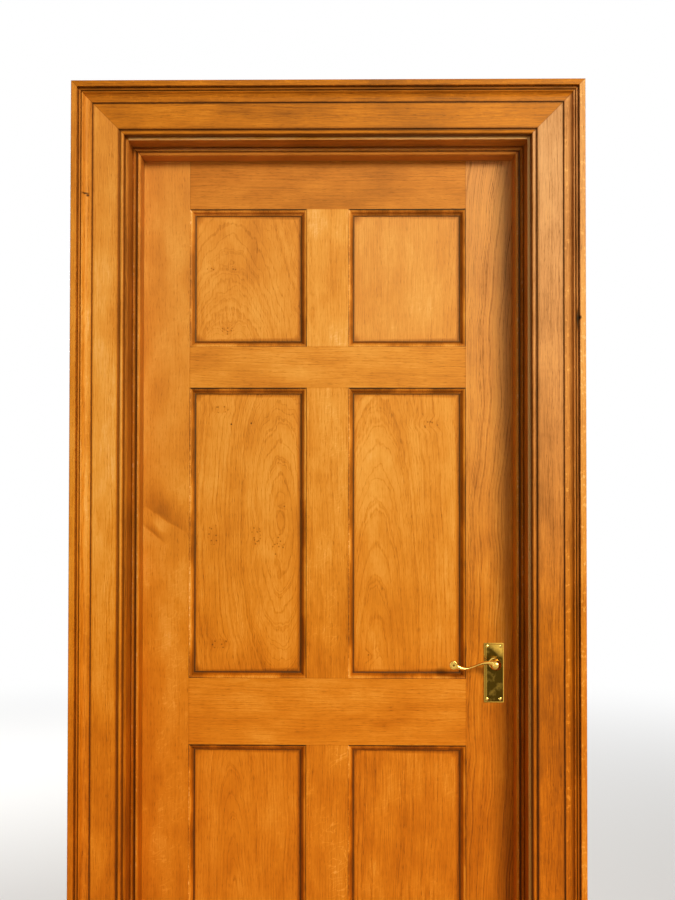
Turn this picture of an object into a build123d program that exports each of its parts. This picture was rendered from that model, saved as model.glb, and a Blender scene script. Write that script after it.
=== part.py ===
from build123d import *
import math
import os

# A six-panel oak door hung in its moulded frame, with a brass lever latch.
# Lengths are in millimetres. The origin is at floor level, in the middle of the doorway
# and of the wall's thickness. +Z is up. The face seen with the door shut looks to -Y.
# The leaf hangs on three butt hinges on the -X side and swings to +Y.

# Leaf, and the gaps round it
leaf_width = 813.0
leaf_height = 2035.0
leaf_thickness = 44.0
side_gap = 3.0
head_gap = 3.0
floor_gap = 6.0
stop_gap = 1.0

# Members of the leaf
stile_width = 113.0
muntin_width = 88.0
top_rail_width = 117.0
frieze_rail_width = 87.0
lock_rail_width = 140.0
bottom_rail_width = 220.0
top_opening_height = 294.0
middle_opening_height = 616.0

# Joints inside the leaf: panels stand in ploughed grooves, rails run through the stiles
groove_width = 15.0
groove_depth = 12.0
panel_engagement = 10.0
tenon_shoulder = 6.0
haunch_height = 38.0
tenon_gap = 24.0
muntin_tenon = 30.0
mortice_spare = 1.0
narrow_rail_tenon_count = 1
deep_rail_tenon_count = 2
wedge_length = 45.0
wedge_thickness = 5.0

# Mitred ogee strips round each panel. The round turns to a hollow part way across.
strip_width = 13.0
strip_setback = 1.0
strip_turn = 7.3
strip_turn_height = 7.3
strip_toe = 2.2

# Small flat taken off the sharp edges of every moulding
arris = 0.8

# Lining of the wall opening, and the planted stops that the leaf shuts against
wall_thickness = 140.0
lining_thickness = 28.0
lining_tongue = 12.0
lining_housing = 10.0
stop_width = 18.5
stop_depth = 47.0
stop_bead = 7.5
stop_quirk = 2.2
stop_quirk_depth = 5.0
stop_shoulder_setback = 2.0
stop_shoulder_drop = 9.0

# Architrave board, and the heavier moulding planted round its outer edge
front_margin = 5.0
rear_margin = 8.0
board_width = 64.5
board_thickness = 20.0
board_bead = 8.5
board_quirk = 3.0
board_quirk_depth = 4.5
band_width = 41.0
band_thickness = 41.0
band_inner_rise = 3.0
band_flat = 8.5
band_flat_rise = 0.5
hollow_width = 9.5
hollow_rise = 8.5
thin_bead = 3.0
thin_groove = 1.2
small_bead = 4.2
small_bead_step = 0.6
outer_quirk = 2.4
outer_quirk_depth = 9.0
outer_round = 2.0

# Screw holes for fixing the lining to the wall, hidden under the stops
fixing_hole_radius = 2.75
fixing_above_floor = 300.0
fixing_below_head = 244.0
fixing_count = 4

# Butt hinges
hinge_height = 102.0
hinge_leaf_width = 38.0
hinge_leaf_thickness = 2.5
knuckle_radius = 6.0
hinge_pin_radius = 3.0
pin_clearance = 0.05
knuckle_count = 5
knuckle_gap = 0.3
knuckle_relief = 0.5
pin_head_radius = 5.0
pin_head_height = 2.5
top_hinge_below_rail = 36.0
middle_hinge_above_rail = 82.0
bottom_hinge_above_rail = 6.0
hinge_screw_count = 4
hinge_screw_stagger = 5.0

# Wood screws
hinge_screw_radius = 2.1
hinge_screw_head = 4.0
hinge_screw_length = 25.0
plate_screw_radius = 1.7
plate_screw_head = 3.3
plate_screw_length = 15.0
plate_screw_dome = 1.2

# Upright mortice latch: case, follower, bolt and return spring
backset = 55.0
latch_above_rail = 2.0
case_depth = 76.0
case_height = 64.0
case_thickness = 14.0
case_wall = 1.5
faceplate_height = 90.0
faceplate_width = 22.0
faceplate_thickness = 3.0
faceplate_screw_offset = 38.0
spindle_size = 8.0
follower_radius = 8.0
shaft_clearance = 0.05
lever_turn = 40.0
bolt_throw = 12.0
bolt_head_height = 22.0
bolt_riser = 6.0
bolt_thickness = 10.4
bolt_tip = 2.5
bolt_flat = 1.0
bolt_clearance = 0.3
bolt_bar_height = 6.0
bolt_web = 4.0
lug_width = 3.5
lug_slack = 0.5
finger_tip_radius = 3.0
finger_neck = 3.2
finger_thickness = 6.0
spring_arm_reach = 16.0
spring_arm_height = 4.0
spring_coil_radius = 4.0
spring_wire_radius = 0.6
spring_turns = 6
spring_seat_gap = 0.2

# Strike plate let into the lock jamb
strike_height = 70.0
strike_thickness = 2.0
strike_margin = 12.0
strike_hole_spare = 1.0
strike_lip = 4.0
strike_lip_turn = 45.0
strike_screw_offset = 26.0

# Back plates and scroll levers
plate_width = 41.5
plate_height = 125.0
plate_rim = 2.2
plate_field = 3.2
plate_rim_width = 2.6
plate_bevel = 0.8
plate_screw_inset = 7.0
plate_below_spindle = 20.0
lever_journal = 8.0
lever_journal_gap = 0.3
lever_collar = 11.5
lever_collar_edge = 2.0
lever_foot_height = 4.6
lever_neck = 7.6
lever_neck_height = 9.0
lever_neck_swell = 0.9
lever_boss = 11.3
lever_boss_edge = 1.5
lever_dome_shoulder = 8.1
lever_dome_drop = 2.6
lever_projection = 45.0
lever_arm_projection = 36.0
lever_reach = 88.0
lever_socket = 28.0
scroll_radius = 9.0
scroll_half_depth = 6.0
scroll_round = 1.8
scroll_eye = 2.2
scroll_eye_depth = 1.2
grub_radius = 2.5
grub_offset = 10.0

# Sections along the lever's arm: share of the reach, rise above the spindle's centre,
# half height and half depth. The arm leaves the boss high, dips, and flares at the scroll.
arm_sections = [
    (0.03, 2.0, 7.6, 7.0),
    (0.12, 4.6, 5.2, 6.2),
    (0.22, 5.0, 3.4, 5.1),
    (0.42, 0.8, 2.4, 4.6),
    (0.60, -5.2, 2.4, 4.6),
    (0.76, -7.2, 3.6, 5.1),
    (0.89, -3.6, 5.6, 5.5),
    (0.97, -0.6, 8.4, 5.8),
]

# Levels and faces worked out from the sizes above
leaf_left = -leaf_width / 2
leaf_right = leaf_width / 2
leaf_bottom = floor_gap
leaf_top = leaf_bottom + leaf_height
leaf_rear = wall_thickness / 2
leaf_front = leaf_rear - leaf_thickness
leaf_middle = (leaf_front + leaf_rear) / 2
clear_half = leaf_width / 2 + side_gap
clear_top = leaf_top + head_gap
wall_front = -wall_thickness / 2
wall_rear = wall_thickness / 2

top_rail_low = leaf_top - top_rail_width
frieze_high = top_rail_low - top_opening_height
frieze_low = frieze_high - frieze_rail_width
lock_high = frieze_low - middle_opening_height
lock_low = lock_high - lock_rail_width
bottom_high = leaf_bottom + bottom_rail_width

# Each rail: lower edge, upper edge, where its tenons start and stop, how many tenons
edge_shoulder = groove_depth + tenon_shoulder
rails = {
    "top_rail": (top_rail_low, leaf_top, edge_shoulder, haunch_height, narrow_rail_tenon_count),
    "frieze_rail": (frieze_low, frieze_high, edge_shoulder, edge_shoulder, narrow_rail_tenon_count),
    "lock_rail": (lock_low, lock_high, edge_shoulder, edge_shoulder, deep_rail_tenon_count),
    "bottom_rail": (leaf_bottom, bottom_high, haunch_height, edge_shoulder, deep_rail_tenon_count),
}
rows = {
    "top": (frieze_high, top_rail_low),
    "middle": (lock_high, frieze_low),
    "bottom": (bottom_high, lock_low),
}
columns = {
    "left": (leaf_left + stile_width, -muntin_width / 2),
    "right": (muntin_width / 2, leaf_right - stile_width),
}

groove_front = leaf_middle - groove_width / 2
groove_rear = leaf_middle + groove_width / 2

hinge_x = leaf_left - side_gap / 2
hinge_y = leaf_rear + knuckle_radius
hinge_levels = {
    "top": top_rail_low - top_hinge_below_rail - hinge_height / 2,
    "middle": lock_high + middle_hinge_above_rail + hinge_height / 2,
    "bottom": bottom_high + bottom_hinge_above_rail + hinge_height / 2,
}

spindle_x = leaf_right - backset
spindle_z = lock_high + latch_above_rail + case_height / 2
case_right = leaf_right - faceplate_thickness
case_left = case_right - case_depth
case_front = leaf_middle - case_thickness / 2
case_rear = leaf_middle + case_thickness / 2
case_low = spindle_z - case_height / 2
case_high = spindle_z + case_height / 2
finger_reach = bolt_throw / math.sin(math.radians(lever_turn))

nodes = {}


def block(x0, x1, y0, y1, z0, z1):
    """A square-edged block between two corners."""
    size = Box(x1 - x0, y1 - y0, z1 - z0, align=(Align.MIN, Align.MIN, Align.MIN))
    return Pos(x0, y0, z0) * size


def front_prism(points, y0, y1):
    """A flat shape drawn as seen from the front, carried through a depth."""
    face = make_face(Polyline(*points, close=True))
    return Plane(origin=(0, y1, 0), x_dir=(1, 0, 0), z_dir=(0, -1, 0)) * extrude(face, amount=y1 - y0)


def rod(x, y, z, radius, length, direction):
    """A round bar starting at a point and running one way."""
    place = Plane(origin=(x, y, z), z_dir=direction)
    return place * Cylinder(radius, length, align=(Align.CENTER, Align.CENTER, Align.MIN))


def bar(section, centre, outward, proud, length):
    """A straight length of one moulding section, centred on a point."""
    along = Vector(*outward).cross(Vector(*proud))
    place = Plane(origin=centre, x_dir=outward, z_dir=along)
    return place * extrude(section, amount=length / 2, both=True)


def export(name, *solids):
    """Keeps a node's solids under its name."""
    nodes[name] = solids[0] if len(solids) == 1 else Compound(children=list(solids))


# Moulding sections. The first coordinate runs across the face, from the edge that meets
# the opening; the second stands proud of the surface that the moulding is planted on.
def board_section():
    """Architrave board: a bead on the inner edge, a quirk, then the flat fascia."""
    radius = board_bead / 2
    shoulder = board_thickness - radius
    quirk_floor = board_thickness - board_quirk_depth
    fascia = board_bead + board_quirk
    lines = [
        Line((0, 0), (0, shoulder)),
        ThreePointArc((0, shoulder), (radius, board_thickness), (board_bead, shoulder)),
        Polyline(
            (board_bead, shoulder),
            (board_bead, quirk_floor),
            (fascia, quirk_floor),
            (fascia, board_thickness - arris),
            (fascia + arris, board_thickness),
            (board_width, board_thickness),
            (board_width, 0),
            (0, 0),
        ),
    ]
    return make_face(Curve() + lines)


def bead_arc(start, width, base):
    """A half-round bead standing on a level."""
    return ThreePointArc((start, base), (start + width / 2, base + width / 2), (start + width, base))


def band_section():
    """Planted outer moulding: a flat, a hollow, two fine beads, a quirk and a square fillet."""
    rise = board_thickness + band_inner_rise
    flat_end = (band_flat, rise + band_flat_rise)
    thin_start = band_flat + hollow_width
    crown = flat_end[1] + hollow_rise
    thin_end = thin_start + thin_bead
    small_start = thin_end + thin_groove
    small_end = small_start + small_bead
    small_base = crown + small_bead_step
    fillet = small_end + outer_quirk
    quirk_floor = band_thickness - outer_quirk_depth
    lines = [
        Polyline((0, 0), (0, rise - arris), (arris, rise), flat_end),
        TangentArc(flat_end, (thin_start, crown), tangent=(band_flat - arris, band_flat_rise)),
        bead_arc(thin_start, thin_bead, crown),
        Polyline(
            (thin_end, crown),
            (thin_end, crown - thin_groove),
            (small_start, crown - thin_groove),
            (small_start, small_base),
        ),
        bead_arc(small_start, small_bead, small_base),
        Polyline(
            (small_end, small_base),
            (small_end, quirk_floor),
            (fillet, quirk_floor),
            (fillet, band_thickness - arris),
            (fillet + arris, band_thickness),
            (band_width - outer_round, band_thickness),
        ),
        RadiusArc(
            (band_width - outer_round, band_thickness),
            (band_width, band_thickness - outer_round),
            outer_round,
        ),
        Polyline((band_width, band_thickness - outer_round), (band_width, 0), (0, 0)),
    ]
    return make_face(Curve() + lines)


def stop_section():
    """Stop: a rounded shoulder by the lining, a quirk, and a bead on the edge that shows."""
    bead_start = stop_width - stop_bead
    quirk_start = bead_start - stop_quirk
    quirk_floor = stop_depth - stop_quirk_depth
    bead_base = stop_depth - stop_bead / 2
    shoulder_low = stop_depth - stop_shoulder_drop
    shoulder_high = stop_depth - stop_shoulder_setback
    lines = [
        Line((0, 0), (0, shoulder_low)),
        TangentArc((quirk_start, shoulder_high), (0, shoulder_low), tangent=(-1, 0)),
        Polyline(
            (quirk_start, shoulder_high),
            (quirk_start, quirk_floor),
            (bead_start, quirk_floor),
            (bead_start, bead_base),
        ),
        bead_arc(bead_start, stop_bead, bead_base),
        Polyline((stop_width, bead_base), (stop_width, 0), (0, 0)),
    ]
    return make_face(Curve() + lines)


def strip_section():
    """Panel strip: an ogee falling from the framing to the panel, with a small toe."""
    height = groove_front - leaf_front - strip_setback
    turn = (strip_turn, strip_turn_height)
    toe = strip_width - arris
    swell = TangentArc((arris, height), turn, tangent=(1, 0))
    lines = [
        Polyline((0, 0), (0, height), (arris, height)),
        swell,
        TangentArc(turn, (toe, strip_toe), tangent=swell % 1),
        Polyline((toe, strip_toe), (strip_width, strip_toe), (strip_width, 0), (0, 0)),
    ]
    return make_face(Curve() + lines)


def surround(section, half_width, top, width, face, proud, side):
    """Two legs and a head of one moulding, mitred together. Side -1 grows into the opening."""
    edge = half_width
    rim = half_width + side * width
    crown = top + side * width
    long = 2 * (top + width)
    reach = proud * band_thickness * 2
    y0, y1 = sorted((face, face + reach))
    leg_shape = [(edge, 0), (edge, top), (rim, crown), (rim, 0)]
    head_shape = [(-edge, top), (edge, top), (rim, crown), (-rim, crown)]
    right = bar(section, (edge, face, 0), (side, 0, 0), (0, proud, 0), long)
    left = bar(section, (-edge, face, 0), (-side, 0, 0), (0, proud, 0), long)
    head = bar(section, (0, face, top), (0, 0, side), (0, proud, 0), long)
    mirrored = [(-x, z) for x, z in leg_shape]
    return (
        left & front_prism(mirrored, y0, y1),
        right & front_prism(leg_shape, y0, y1),
        head & front_prism(head_shape, y0, y1),
    )


# Frame: lining, stops and architraves
def lining():
    """Two jambs with tongues and a head housed over them."""
    outer = clear_half + lining_thickness
    jamb_top = clear_top + lining_housing
    tongue_end = clear_half + lining_tongue
    left = block(-outer, -clear_half, wall_front, wall_rear, 0, clear_top)
    left += block(-tongue_end, -clear_half, wall_front, wall_rear, clear_top, jamb_top)
    right = block(clear_half, outer, wall_front, wall_rear, 0, clear_top)
    right += block(clear_half, tongue_end, wall_front, wall_rear, clear_top, jamb_top)
    head = block(-outer, outer, wall_front, wall_rear, clear_top, clear_top + lining_thickness)
    for x0, x1 in ((-tongue_end, -clear_half), (clear_half, tongue_end)):
        head -= block(x0, x1, wall_front, wall_rear, clear_top, jamb_top)
    hole_y = leaf_front - stop_gap - stop_depth / 2
    pitch = (clear_top - fixing_below_head - fixing_above_floor) / (fixing_count - 1)
    for step in range(fixing_count):
        height = fixing_above_floor + step * pitch
        left -= rod(-outer, hole_y, height, fixing_hole_radius, lining_thickness, (1, 0, 0))
        right -= rod(outer, hole_y, height, fixing_hole_radius, lining_thickness, (-1, 0, 0))
    return left, right, head


hinge_jamb, lock_jamb, lining_head = lining()

stop_left, stop_right, stop_head = surround(
    stop_section(), clear_half, clear_top, stop_width, leaf_front - stop_gap, -1, -1
)
export("stop_hinge_side", stop_left)
export("stop_lock_side", stop_right)
export("stop_head", stop_head)

front_half = clear_half + front_margin
front_top = clear_top + front_margin
boards = surround(board_section(), front_half, front_top, board_width, wall_front, -1, 1)
bands = surround(
    band_section(), front_half + board_width, front_top + board_width, band_width, wall_front, -1, 1
)
rear_half = clear_half + rear_margin
rear_top = clear_top + rear_margin
rear_boards = surround(board_section(), rear_half, rear_top, board_width, wall_rear, 1, 1)
rear_bands = surround(
    band_section(), rear_half + board_width, rear_top + board_width, band_width, wall_rear, 1, 1
)
for number, place in enumerate(("left", "right", "head")):
    export("architrave_front_" + place, boards[number])
    export("back_band_front_" + place, bands[number])
    export("architrave_rear_" + place, rear_boards[number] + rear_bands[number])


# Screws
def wood_screw(head, radius, length, dome):
    """A countersunk wood screw standing on its point, its head flush with level zero."""
    taper = head - radius
    lines = [
        Polyline((0, dome), (0, -length), (radius, -length + 2 * radius), (radius, -taper), (head, 0)),
    ]
    if dome > 0:
        lines.append(RadiusArc((head, 0), (0, dome), -(head**2 + dome**2) / (2 * dome)))
    else:
        lines.append(Line((head, 0), (0, 0)))
    profile = Plane.XZ * make_face(Curve() + lines)
    return revolve(profile, axis=Axis.Z)


def placed_screw(x, y, z, outward, head, radius, length, dome=0.0):
    """A wood screw whose head faces one way."""
    return Plane(origin=(x, y, z), z_dir=outward) * wood_screw(head, radius, length, dome)


def without(solid, tools):
    """A solid less each of several tools, taken one at a time."""
    for tool in tools:
        solid -= tool
    return solid


# Hinges
def knuckle_spans(parity):
    """Height spans of every second knuckle, counted from the bottom of a hinge."""
    each = hinge_height / knuckle_count
    spans = []
    for step in range(parity, knuckle_count, 2):
        low = -hinge_height / 2 + step * each
        spans.append((low + knuckle_gap / 2, low + each - knuckle_gap / 2))
    return spans


def hinge_plate(level, face, away, own, other):
    """One leaf of a butt hinge: a plate let into the timber and its share of the knuckle."""
    inner = face + away * hinge_leaf_thickness
    x0, x1 = sorted((face, inner))
    low = level - hinge_height / 2
    high = level + hinge_height / 2
    plate = block(x0, x1, hinge_y - hinge_leaf_width, hinge_y, low, high)
    for start, end in knuckle_spans(other):
        relief = knuckle_radius + knuckle_relief
        height = end - start + 2 * knuckle_gap
        plate -= rod(hinge_x, hinge_y, level + start - knuckle_gap, relief, height, (0, 0, 1))
    for start, end in knuckle_spans(own):
        plate += rod(hinge_x, hinge_y, level + start, knuckle_radius, end - start, (0, 0, 1))
    bore = hinge_pin_radius + pin_clearance
    return plate - rod(hinge_x, hinge_y, low, bore, hinge_height, (0, 0, 1))


def hinge_screws(level, face, into):
    """A staggered row of screws through one hinge leaf."""
    pitch = hinge_height / hinge_screw_count
    middle = (hinge_y - hinge_leaf_width + leaf_rear) / 2
    screws = []
    for step in range(hinge_screw_count):
        height = level + (step - (hinge_screw_count - 1) / 2) * pitch
        depth = middle + hinge_screw_stagger * (1 if step % 2 else -1)
        screw = placed_screw(
            face, depth, height, (-into, 0, 0), hinge_screw_head, hinge_screw_radius, hinge_screw_length
        )
        screws.append(screw)
    return screws


def hinge_pin(level):
    """A pin through all the knuckles, with a button on each end."""
    half = hinge_height / 2
    pin = rod(hinge_x, hinge_y, level - half, hinge_pin_radius, hinge_height, (0, 0, 1))
    for start, direction in ((level + half, 1), (level - half, -1)):
        pin += rod(hinge_x, hinge_y, start, pin_head_radius, pin_head_height, (0, 0, direction))
    return pin


frame_face = -clear_half
door_face = leaf_left
frame_hinge_screws = []
door_hinge_screws = []
for place, level in hinge_levels.items():
    into_frame = hinge_screws(level, frame_face, -1)
    into_door = hinge_screws(level, door_face, 1)
    frame_hinge_screws += into_frame
    door_hinge_screws += into_door
    frame_leaf = hinge_plate(level, frame_face, -1, 0, 1)
    door_leaf = hinge_plate(level, door_face, 1, 1, 0)
    export("hinge_" + place + "_frame_leaf", without(frame_leaf, into_frame))
    export("hinge_" + place + "_door_leaf", without(door_leaf, into_door))
export("hinge_pins", *[hinge_pin(level) for level in hinge_levels.values()])


def hinge_pocket(level, face, away):
    """The shallow recess that a hinge leaf is let into."""
    x0, x1 = sorted((face, face + away * hinge_leaf_thickness))
    low = level - hinge_height / 2
    return block(x0, x1, hinge_y - hinge_leaf_width, wall_rear, low, low + hinge_height)


# Latch: the case is a tray with a cover, let into the edge of the lock stile
follower_bore = follower_radius + shaft_clearance
riser_right = case_right - case_wall - bolt_clearance
bolt_back = riser_right - bolt_riser
bar_low = spindle_z + finger_reach + finger_tip_radius + lug_slack
bar_high = bar_low + bolt_bar_height
lug_low = spindle_z + finger_reach * math.cos(math.radians(lever_turn))
slot_half = finger_tip_radius + lug_slack
bolt_low = spindle_z - bolt_head_height / 2
bolt_high = spindle_z + bolt_head_height / 2


def bolt_passage(x0, x1):
    """The opening that the latch bolt slides through."""
    return block(
        x0,
        x1,
        leaf_middle - bolt_thickness / 2 - bolt_clearance,
        leaf_middle + bolt_thickness / 2 + bolt_clearance,
        bolt_low - bolt_clearance,
        bolt_high + bolt_clearance,
    )


def latch_case():
    """A tray with four walls, a bushed hole for the follower and a mouth for the bolt."""
    lid_front = case_rear - case_wall
    tray = block(case_left, case_right, case_front, lid_front, case_low, case_high)
    tray -= block(
        case_left + case_wall,
        case_right - case_wall,
        case_front + case_wall,
        lid_front,
        case_low + case_wall,
        case_high - case_wall,
    )
    tray -= rod(spindle_x, case_front, spindle_z, follower_bore, case_thickness, (0, 1, 0))
    tray -= bolt_passage(case_right - case_wall, case_right)
    cover = block(case_left, case_right, lid_front, case_rear, case_low, case_high)
    cover -= rod(spindle_x, lid_front, spindle_z, follower_bore, case_wall, (0, 1, 0))
    return tray, cover


def latch_bolt():
    """Bevelled head, a riser, and a bar whose two lugs straddle the follower's finger."""
    tip = leaf_right + bolt_throw
    front = leaf_middle - bolt_thickness / 2
    rear = leaf_middle + bolt_thickness / 2
    head = block(bolt_back, tip, front, rear, bolt_low, bolt_high)
    slope = make_face(
        Polyline((leaf_right + bolt_flat, front), (tip, front), (tip, rear - bolt_tip), close=True)
    )
    head -= Pos(0, 0, bolt_low) * extrude(slope, amount=bolt_head_height)
    web_front = leaf_middle - bolt_web / 2
    web_rear = leaf_middle + bolt_web / 2
    riser = block(bolt_back, riser_right, web_front, web_rear, bolt_high, bar_high)
    far = spindle_x - slot_half - lug_width
    top_bar = block(far, riser_right, web_front, web_rear, bar_low, bar_high)
    bolt = head + riser + top_bar
    for x0 in (far, spindle_x + slot_half):
        bolt += block(x0, x0 + lug_width, web_front, web_rear, lug_low, bar_low)
    return bolt


def square_hole(y0, y1):
    """The spindle's square section through a depth."""
    half = spindle_size / 2
    return block(spindle_x - half, spindle_x + half, y0, y1, spindle_z - half, spindle_z + half)


def follower():
    """A round follower with an upright finger for the bolt and an arm for the spring."""
    hub = rod(spindle_x, case_front, spindle_z, follower_radius, case_thickness, (0, 1, 0))
    y0 = leaf_middle - finger_thickness / 2
    y1 = leaf_middle + finger_thickness / 2
    top = spindle_z + finger_reach
    hub += block(spindle_x - finger_neck / 2, spindle_x + finger_neck / 2, y0, y1, spindle_z, top)
    hub += rod(spindle_x, y0, top, finger_tip_radius, finger_thickness, (0, 1, 0))
    half = spring_arm_height / 2
    hub += block(spindle_x - spring_arm_reach, spindle_x, y0, y1, spindle_z - half, spindle_z + half)
    return hub - square_hole(case_front, case_rear)


def latch_spring():
    """A coil spring standing on the case floor under the follower's arm."""
    x = spindle_x - spring_arm_reach + spring_coil_radius
    low = case_low + case_wall + spring_wire_radius
    high = spindle_z - spring_arm_height / 2 - spring_wire_radius - spring_seat_gap
    radius = spring_coil_radius - spring_wire_radius
    path = Helix(pitch=(high - low) / spring_turns, height=high - low, radius=radius)
    wire = sweep((path ^ 0) * Circle(spring_wire_radius), path=path)
    return Pos(x, leaf_middle, low) * wire


def faceplate_blank():
    """The plate on the leaf's edge, before its holes are made."""
    return block(
        case_right,
        leaf_right,
        leaf_middle - faceplate_width / 2,
        leaf_middle + faceplate_width / 2,
        spindle_z - faceplate_height / 2,
        spindle_z + faceplate_height / 2,
    )


faceplate_screws = [
    placed_screw(
        leaf_right,
        leaf_middle,
        spindle_z + offset,
        (1, 0, 0),
        hinge_screw_head,
        hinge_screw_radius,
        hinge_screw_length,
    )
    for offset in (-faceplate_screw_offset, faceplate_screw_offset)
]
case_tray, case_cover = latch_case()
export("latch_case", case_tray)
export("latch_cover", case_cover)
faceplate_cuts = [bolt_passage(case_right, leaf_right)] + faceplate_screws
export("latch_faceplate", without(faceplate_blank(), faceplate_cuts))
export("latch_spring", latch_spring())
export("latch_bolt", latch_bolt())
export("latch_follower", follower())


# Strike plate: let into the lock jamb, with a lip curled round its rear arris
def lip_point(radius, turn):
    """A point on the curled lip, as seen from above."""
    centre_x = clear_half + strike_thickness + strike_lip
    centre_y = wall_rear - strike_lip
    return (centre_x - radius * math.cos(turn), centre_y + radius * math.sin(turn))


def strike():
    """A plate with a lip for the bolt's bevel to ride on."""
    start = leaf_middle - strike_margin
    end = math.radians(strike_lip_turn)
    back = strike_lip + strike_thickness
    lines = [
        Polyline(
            lip_point(back, 0),
            (clear_half, start),
            (clear_half + strike_thickness, start),
            lip_point(strike_lip, 0),
        ),
        ThreePointArc(lip_point(strike_lip, 0), lip_point(strike_lip, end / 2), lip_point(strike_lip, end)),
        Line(lip_point(strike_lip, end), lip_point(back, end)),
        ThreePointArc(lip_point(back, end), lip_point(back, end / 2), lip_point(back, 0)),
    ]
    low = spindle_z - strike_height / 2
    return Pos(0, 0, low) * extrude(make_face(Curve() + lines), amount=strike_height)


strike_screws = [
    placed_screw(
        clear_half,
        leaf_middle,
        spindle_z + offset,
        (-1, 0, 0),
        hinge_screw_head,
        hinge_screw_radius,
        hinge_screw_length - strike_thickness,
    )
    for offset in (-strike_screw_offset, strike_screw_offset)
]
keep_depth = bolt_throw - side_gap + strike_hole_spare
strike_hole = block(
    clear_half,
    clear_half + keep_depth,
    leaf_middle - bolt_thickness / 2 - strike_hole_spare,
    leaf_middle + bolt_thickness / 2 + strike_hole_spare,
    bolt_low - strike_hole_spare,
    bolt_high + strike_hole_spare,
)
strike_seat = strike()
export("strike_plate", without(strike_seat - strike_hole, strike_screws))

# Jambs with everything that is let into them
hinge_pockets = [hinge_pocket(level, frame_face, -1) for level in hinge_levels.values()]
export("hinge_jamb", without(hinge_jamb, hinge_pockets + frame_hinge_screws))
export("lock_jamb", without(lock_jamb, [strike_seat, strike_hole] + strike_screws))
export("lining_head", lining_head)
export("frame_screws", *frame_hinge_screws, *strike_screws)


# Back plates and levers. The rear ones are the front ones reflected in the leaf's middle.
plate_z = spindle_z - plate_below_spindle
leaf_mid_plane = Plane(origin=(0, leaf_middle, 0), z_dir=(0, 1, 0))


def plate_screw_spots():
    """Positions of the four screws in the corners of a back plate."""
    across = plate_width / 2 - plate_screw_inset
    up = plate_height / 2 - plate_screw_inset
    return [(spindle_x + i * across, plate_z + k * up) for i in (-1, 1) for k in (-1, 1)]


def back_plate():
    """A plate with a raised, bevelled field and a bushed hole for the lever."""
    rim = Pos(spindle_x, leaf_front, plate_z) * Box(
        plate_width, plate_rim, plate_height, align=(Align.CENTER, Align.MAX, Align.CENTER)
    )
    rise = plate_field - plate_rim
    field = Box(
        plate_width - 2 * plate_rim_width,
        rise,
        plate_height - 2 * plate_rim_width,
        align=(Align.CENTER, Align.MAX, Align.CENTER),
    )
    field = chamfer(field.faces().sort_by(Axis.Y)[0].edges(), length=plate_bevel)
    plate = rim + Pos(spindle_x, leaf_front - plate_rim, plate_z) * field
    hole = rod(
        spindle_x, leaf_front, spindle_z, lever_journal + shaft_clearance, plate_field, (0, -1, 0)
    )
    return plate - hole


def plate_screws(face, out):
    """The four raised-head screws of one back plate."""
    return [
        placed_screw(
            x,
            face + out * plate_field,
            z,
            (0, out, 0),
            plate_screw_head,
            plate_screw_radius,
            plate_screw_length,
            plate_screw_dome,
        )
        for x, z in plate_screw_spots()
    ]


front_plate_screws = plate_screws(leaf_front, -1)
rear_plate_screws = plate_screws(leaf_rear, 1)
lock_side_screws = faceplate_screws + front_plate_screws + rear_plate_screws
front_plate = without(back_plate(), front_plate_screws)
export("backplate_front", front_plate)
export("backplate_rear", mirror(front_plate, about=leaf_mid_plane))


def lever_boss_shape():
    """The turned root of the lever: journal, collar, neck and domed boss."""
    seat = plate_field + lever_journal_gap
    collar_top = seat + lever_collar_edge
    neck = seat + lever_neck_height
    boss_low = lever_arm_projection - lever_boss_edge
    swell = lever_neck + lever_neck_swell
    lines = [
        Polyline(
            (0, lever_journal_gap),
            (lever_journal, lever_journal_gap),
            (lever_journal, seat),
            (lever_collar, seat),
            (lever_collar, collar_top),
        ),
        ThreePointArc((lever_collar, collar_top), (swell, seat + lever_foot_height), (lever_neck, neck)),
        ThreePointArc((lever_neck, neck), (swell, (neck + lever_arm_projection) / 2), (lever_boss, boss_low)),
        ThreePointArc(
            (lever_boss, boss_low),
            (lever_dome_shoulder, lever_projection - lever_dome_drop),
            (0, lever_projection),
        ),
        Line((0, lever_projection), (0, lever_journal_gap)),
    ]
    turned = revolve(Plane.XZ * make_face(Curve() + lines), axis=Axis.Z)
    return Plane(origin=(spindle_x, leaf_front, spindle_z), z_dir=(0, -1, 0)) * turned


def lever_arm():
    """A thin waved arm, lofted through ellipses set square to its path."""
    depth = leaf_front - lever_arm_projection
    path = [
        Vector(spindle_x - share * lever_reach, depth, spindle_z + rise)
        for share, rise, _, _ in arm_sections
    ]
    last = len(path) - 1
    sections = []
    for number, (_, _, half_height, half_depth) in enumerate(arm_sections):
        heading = path[min(number + 1, last)] - path[max(number - 1, 0)]
        place = Plane(origin=path[number], x_dir=(0, 1, 0), z_dir=heading.normalized())
        sections.append(place * Ellipse(half_depth, half_height))
    return loft(sections)


def lever():
    """One scroll lever with its square socket and grub screw hole."""
    depth = leaf_front - lever_arm_projection
    end_x = spindle_x - lever_reach
    roll = Cylinder(scroll_radius, 2 * scroll_half_depth)
    roll = fillet(roll.edges().filter_by(GeomType.CIRCLE), radius=scroll_round)
    roll -= Pos(0, 0, scroll_half_depth - scroll_eye_depth) * Cylinder(
        scroll_eye, scroll_eye_depth, align=(Align.CENTER, Align.CENTER, Align.MIN)
    )
    roll = Plane(origin=(end_x, depth, spindle_z), z_dir=(0, -1, 0)) * roll
    handle = lever_boss_shape() + lever_arm() + roll
    handle -= square_hole(leaf_front - lever_socket, leaf_front)
    return handle - grub_screw()


def grub_screw():
    """A headless screw through the neck, bearing on the spindle from below."""
    reach = lever_neck - spindle_size / 2
    z = spindle_z - spindle_size / 2
    return rod(spindle_x, leaf_front - grub_offset, z, grub_radius, reach, (0, 0, -1))


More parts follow.
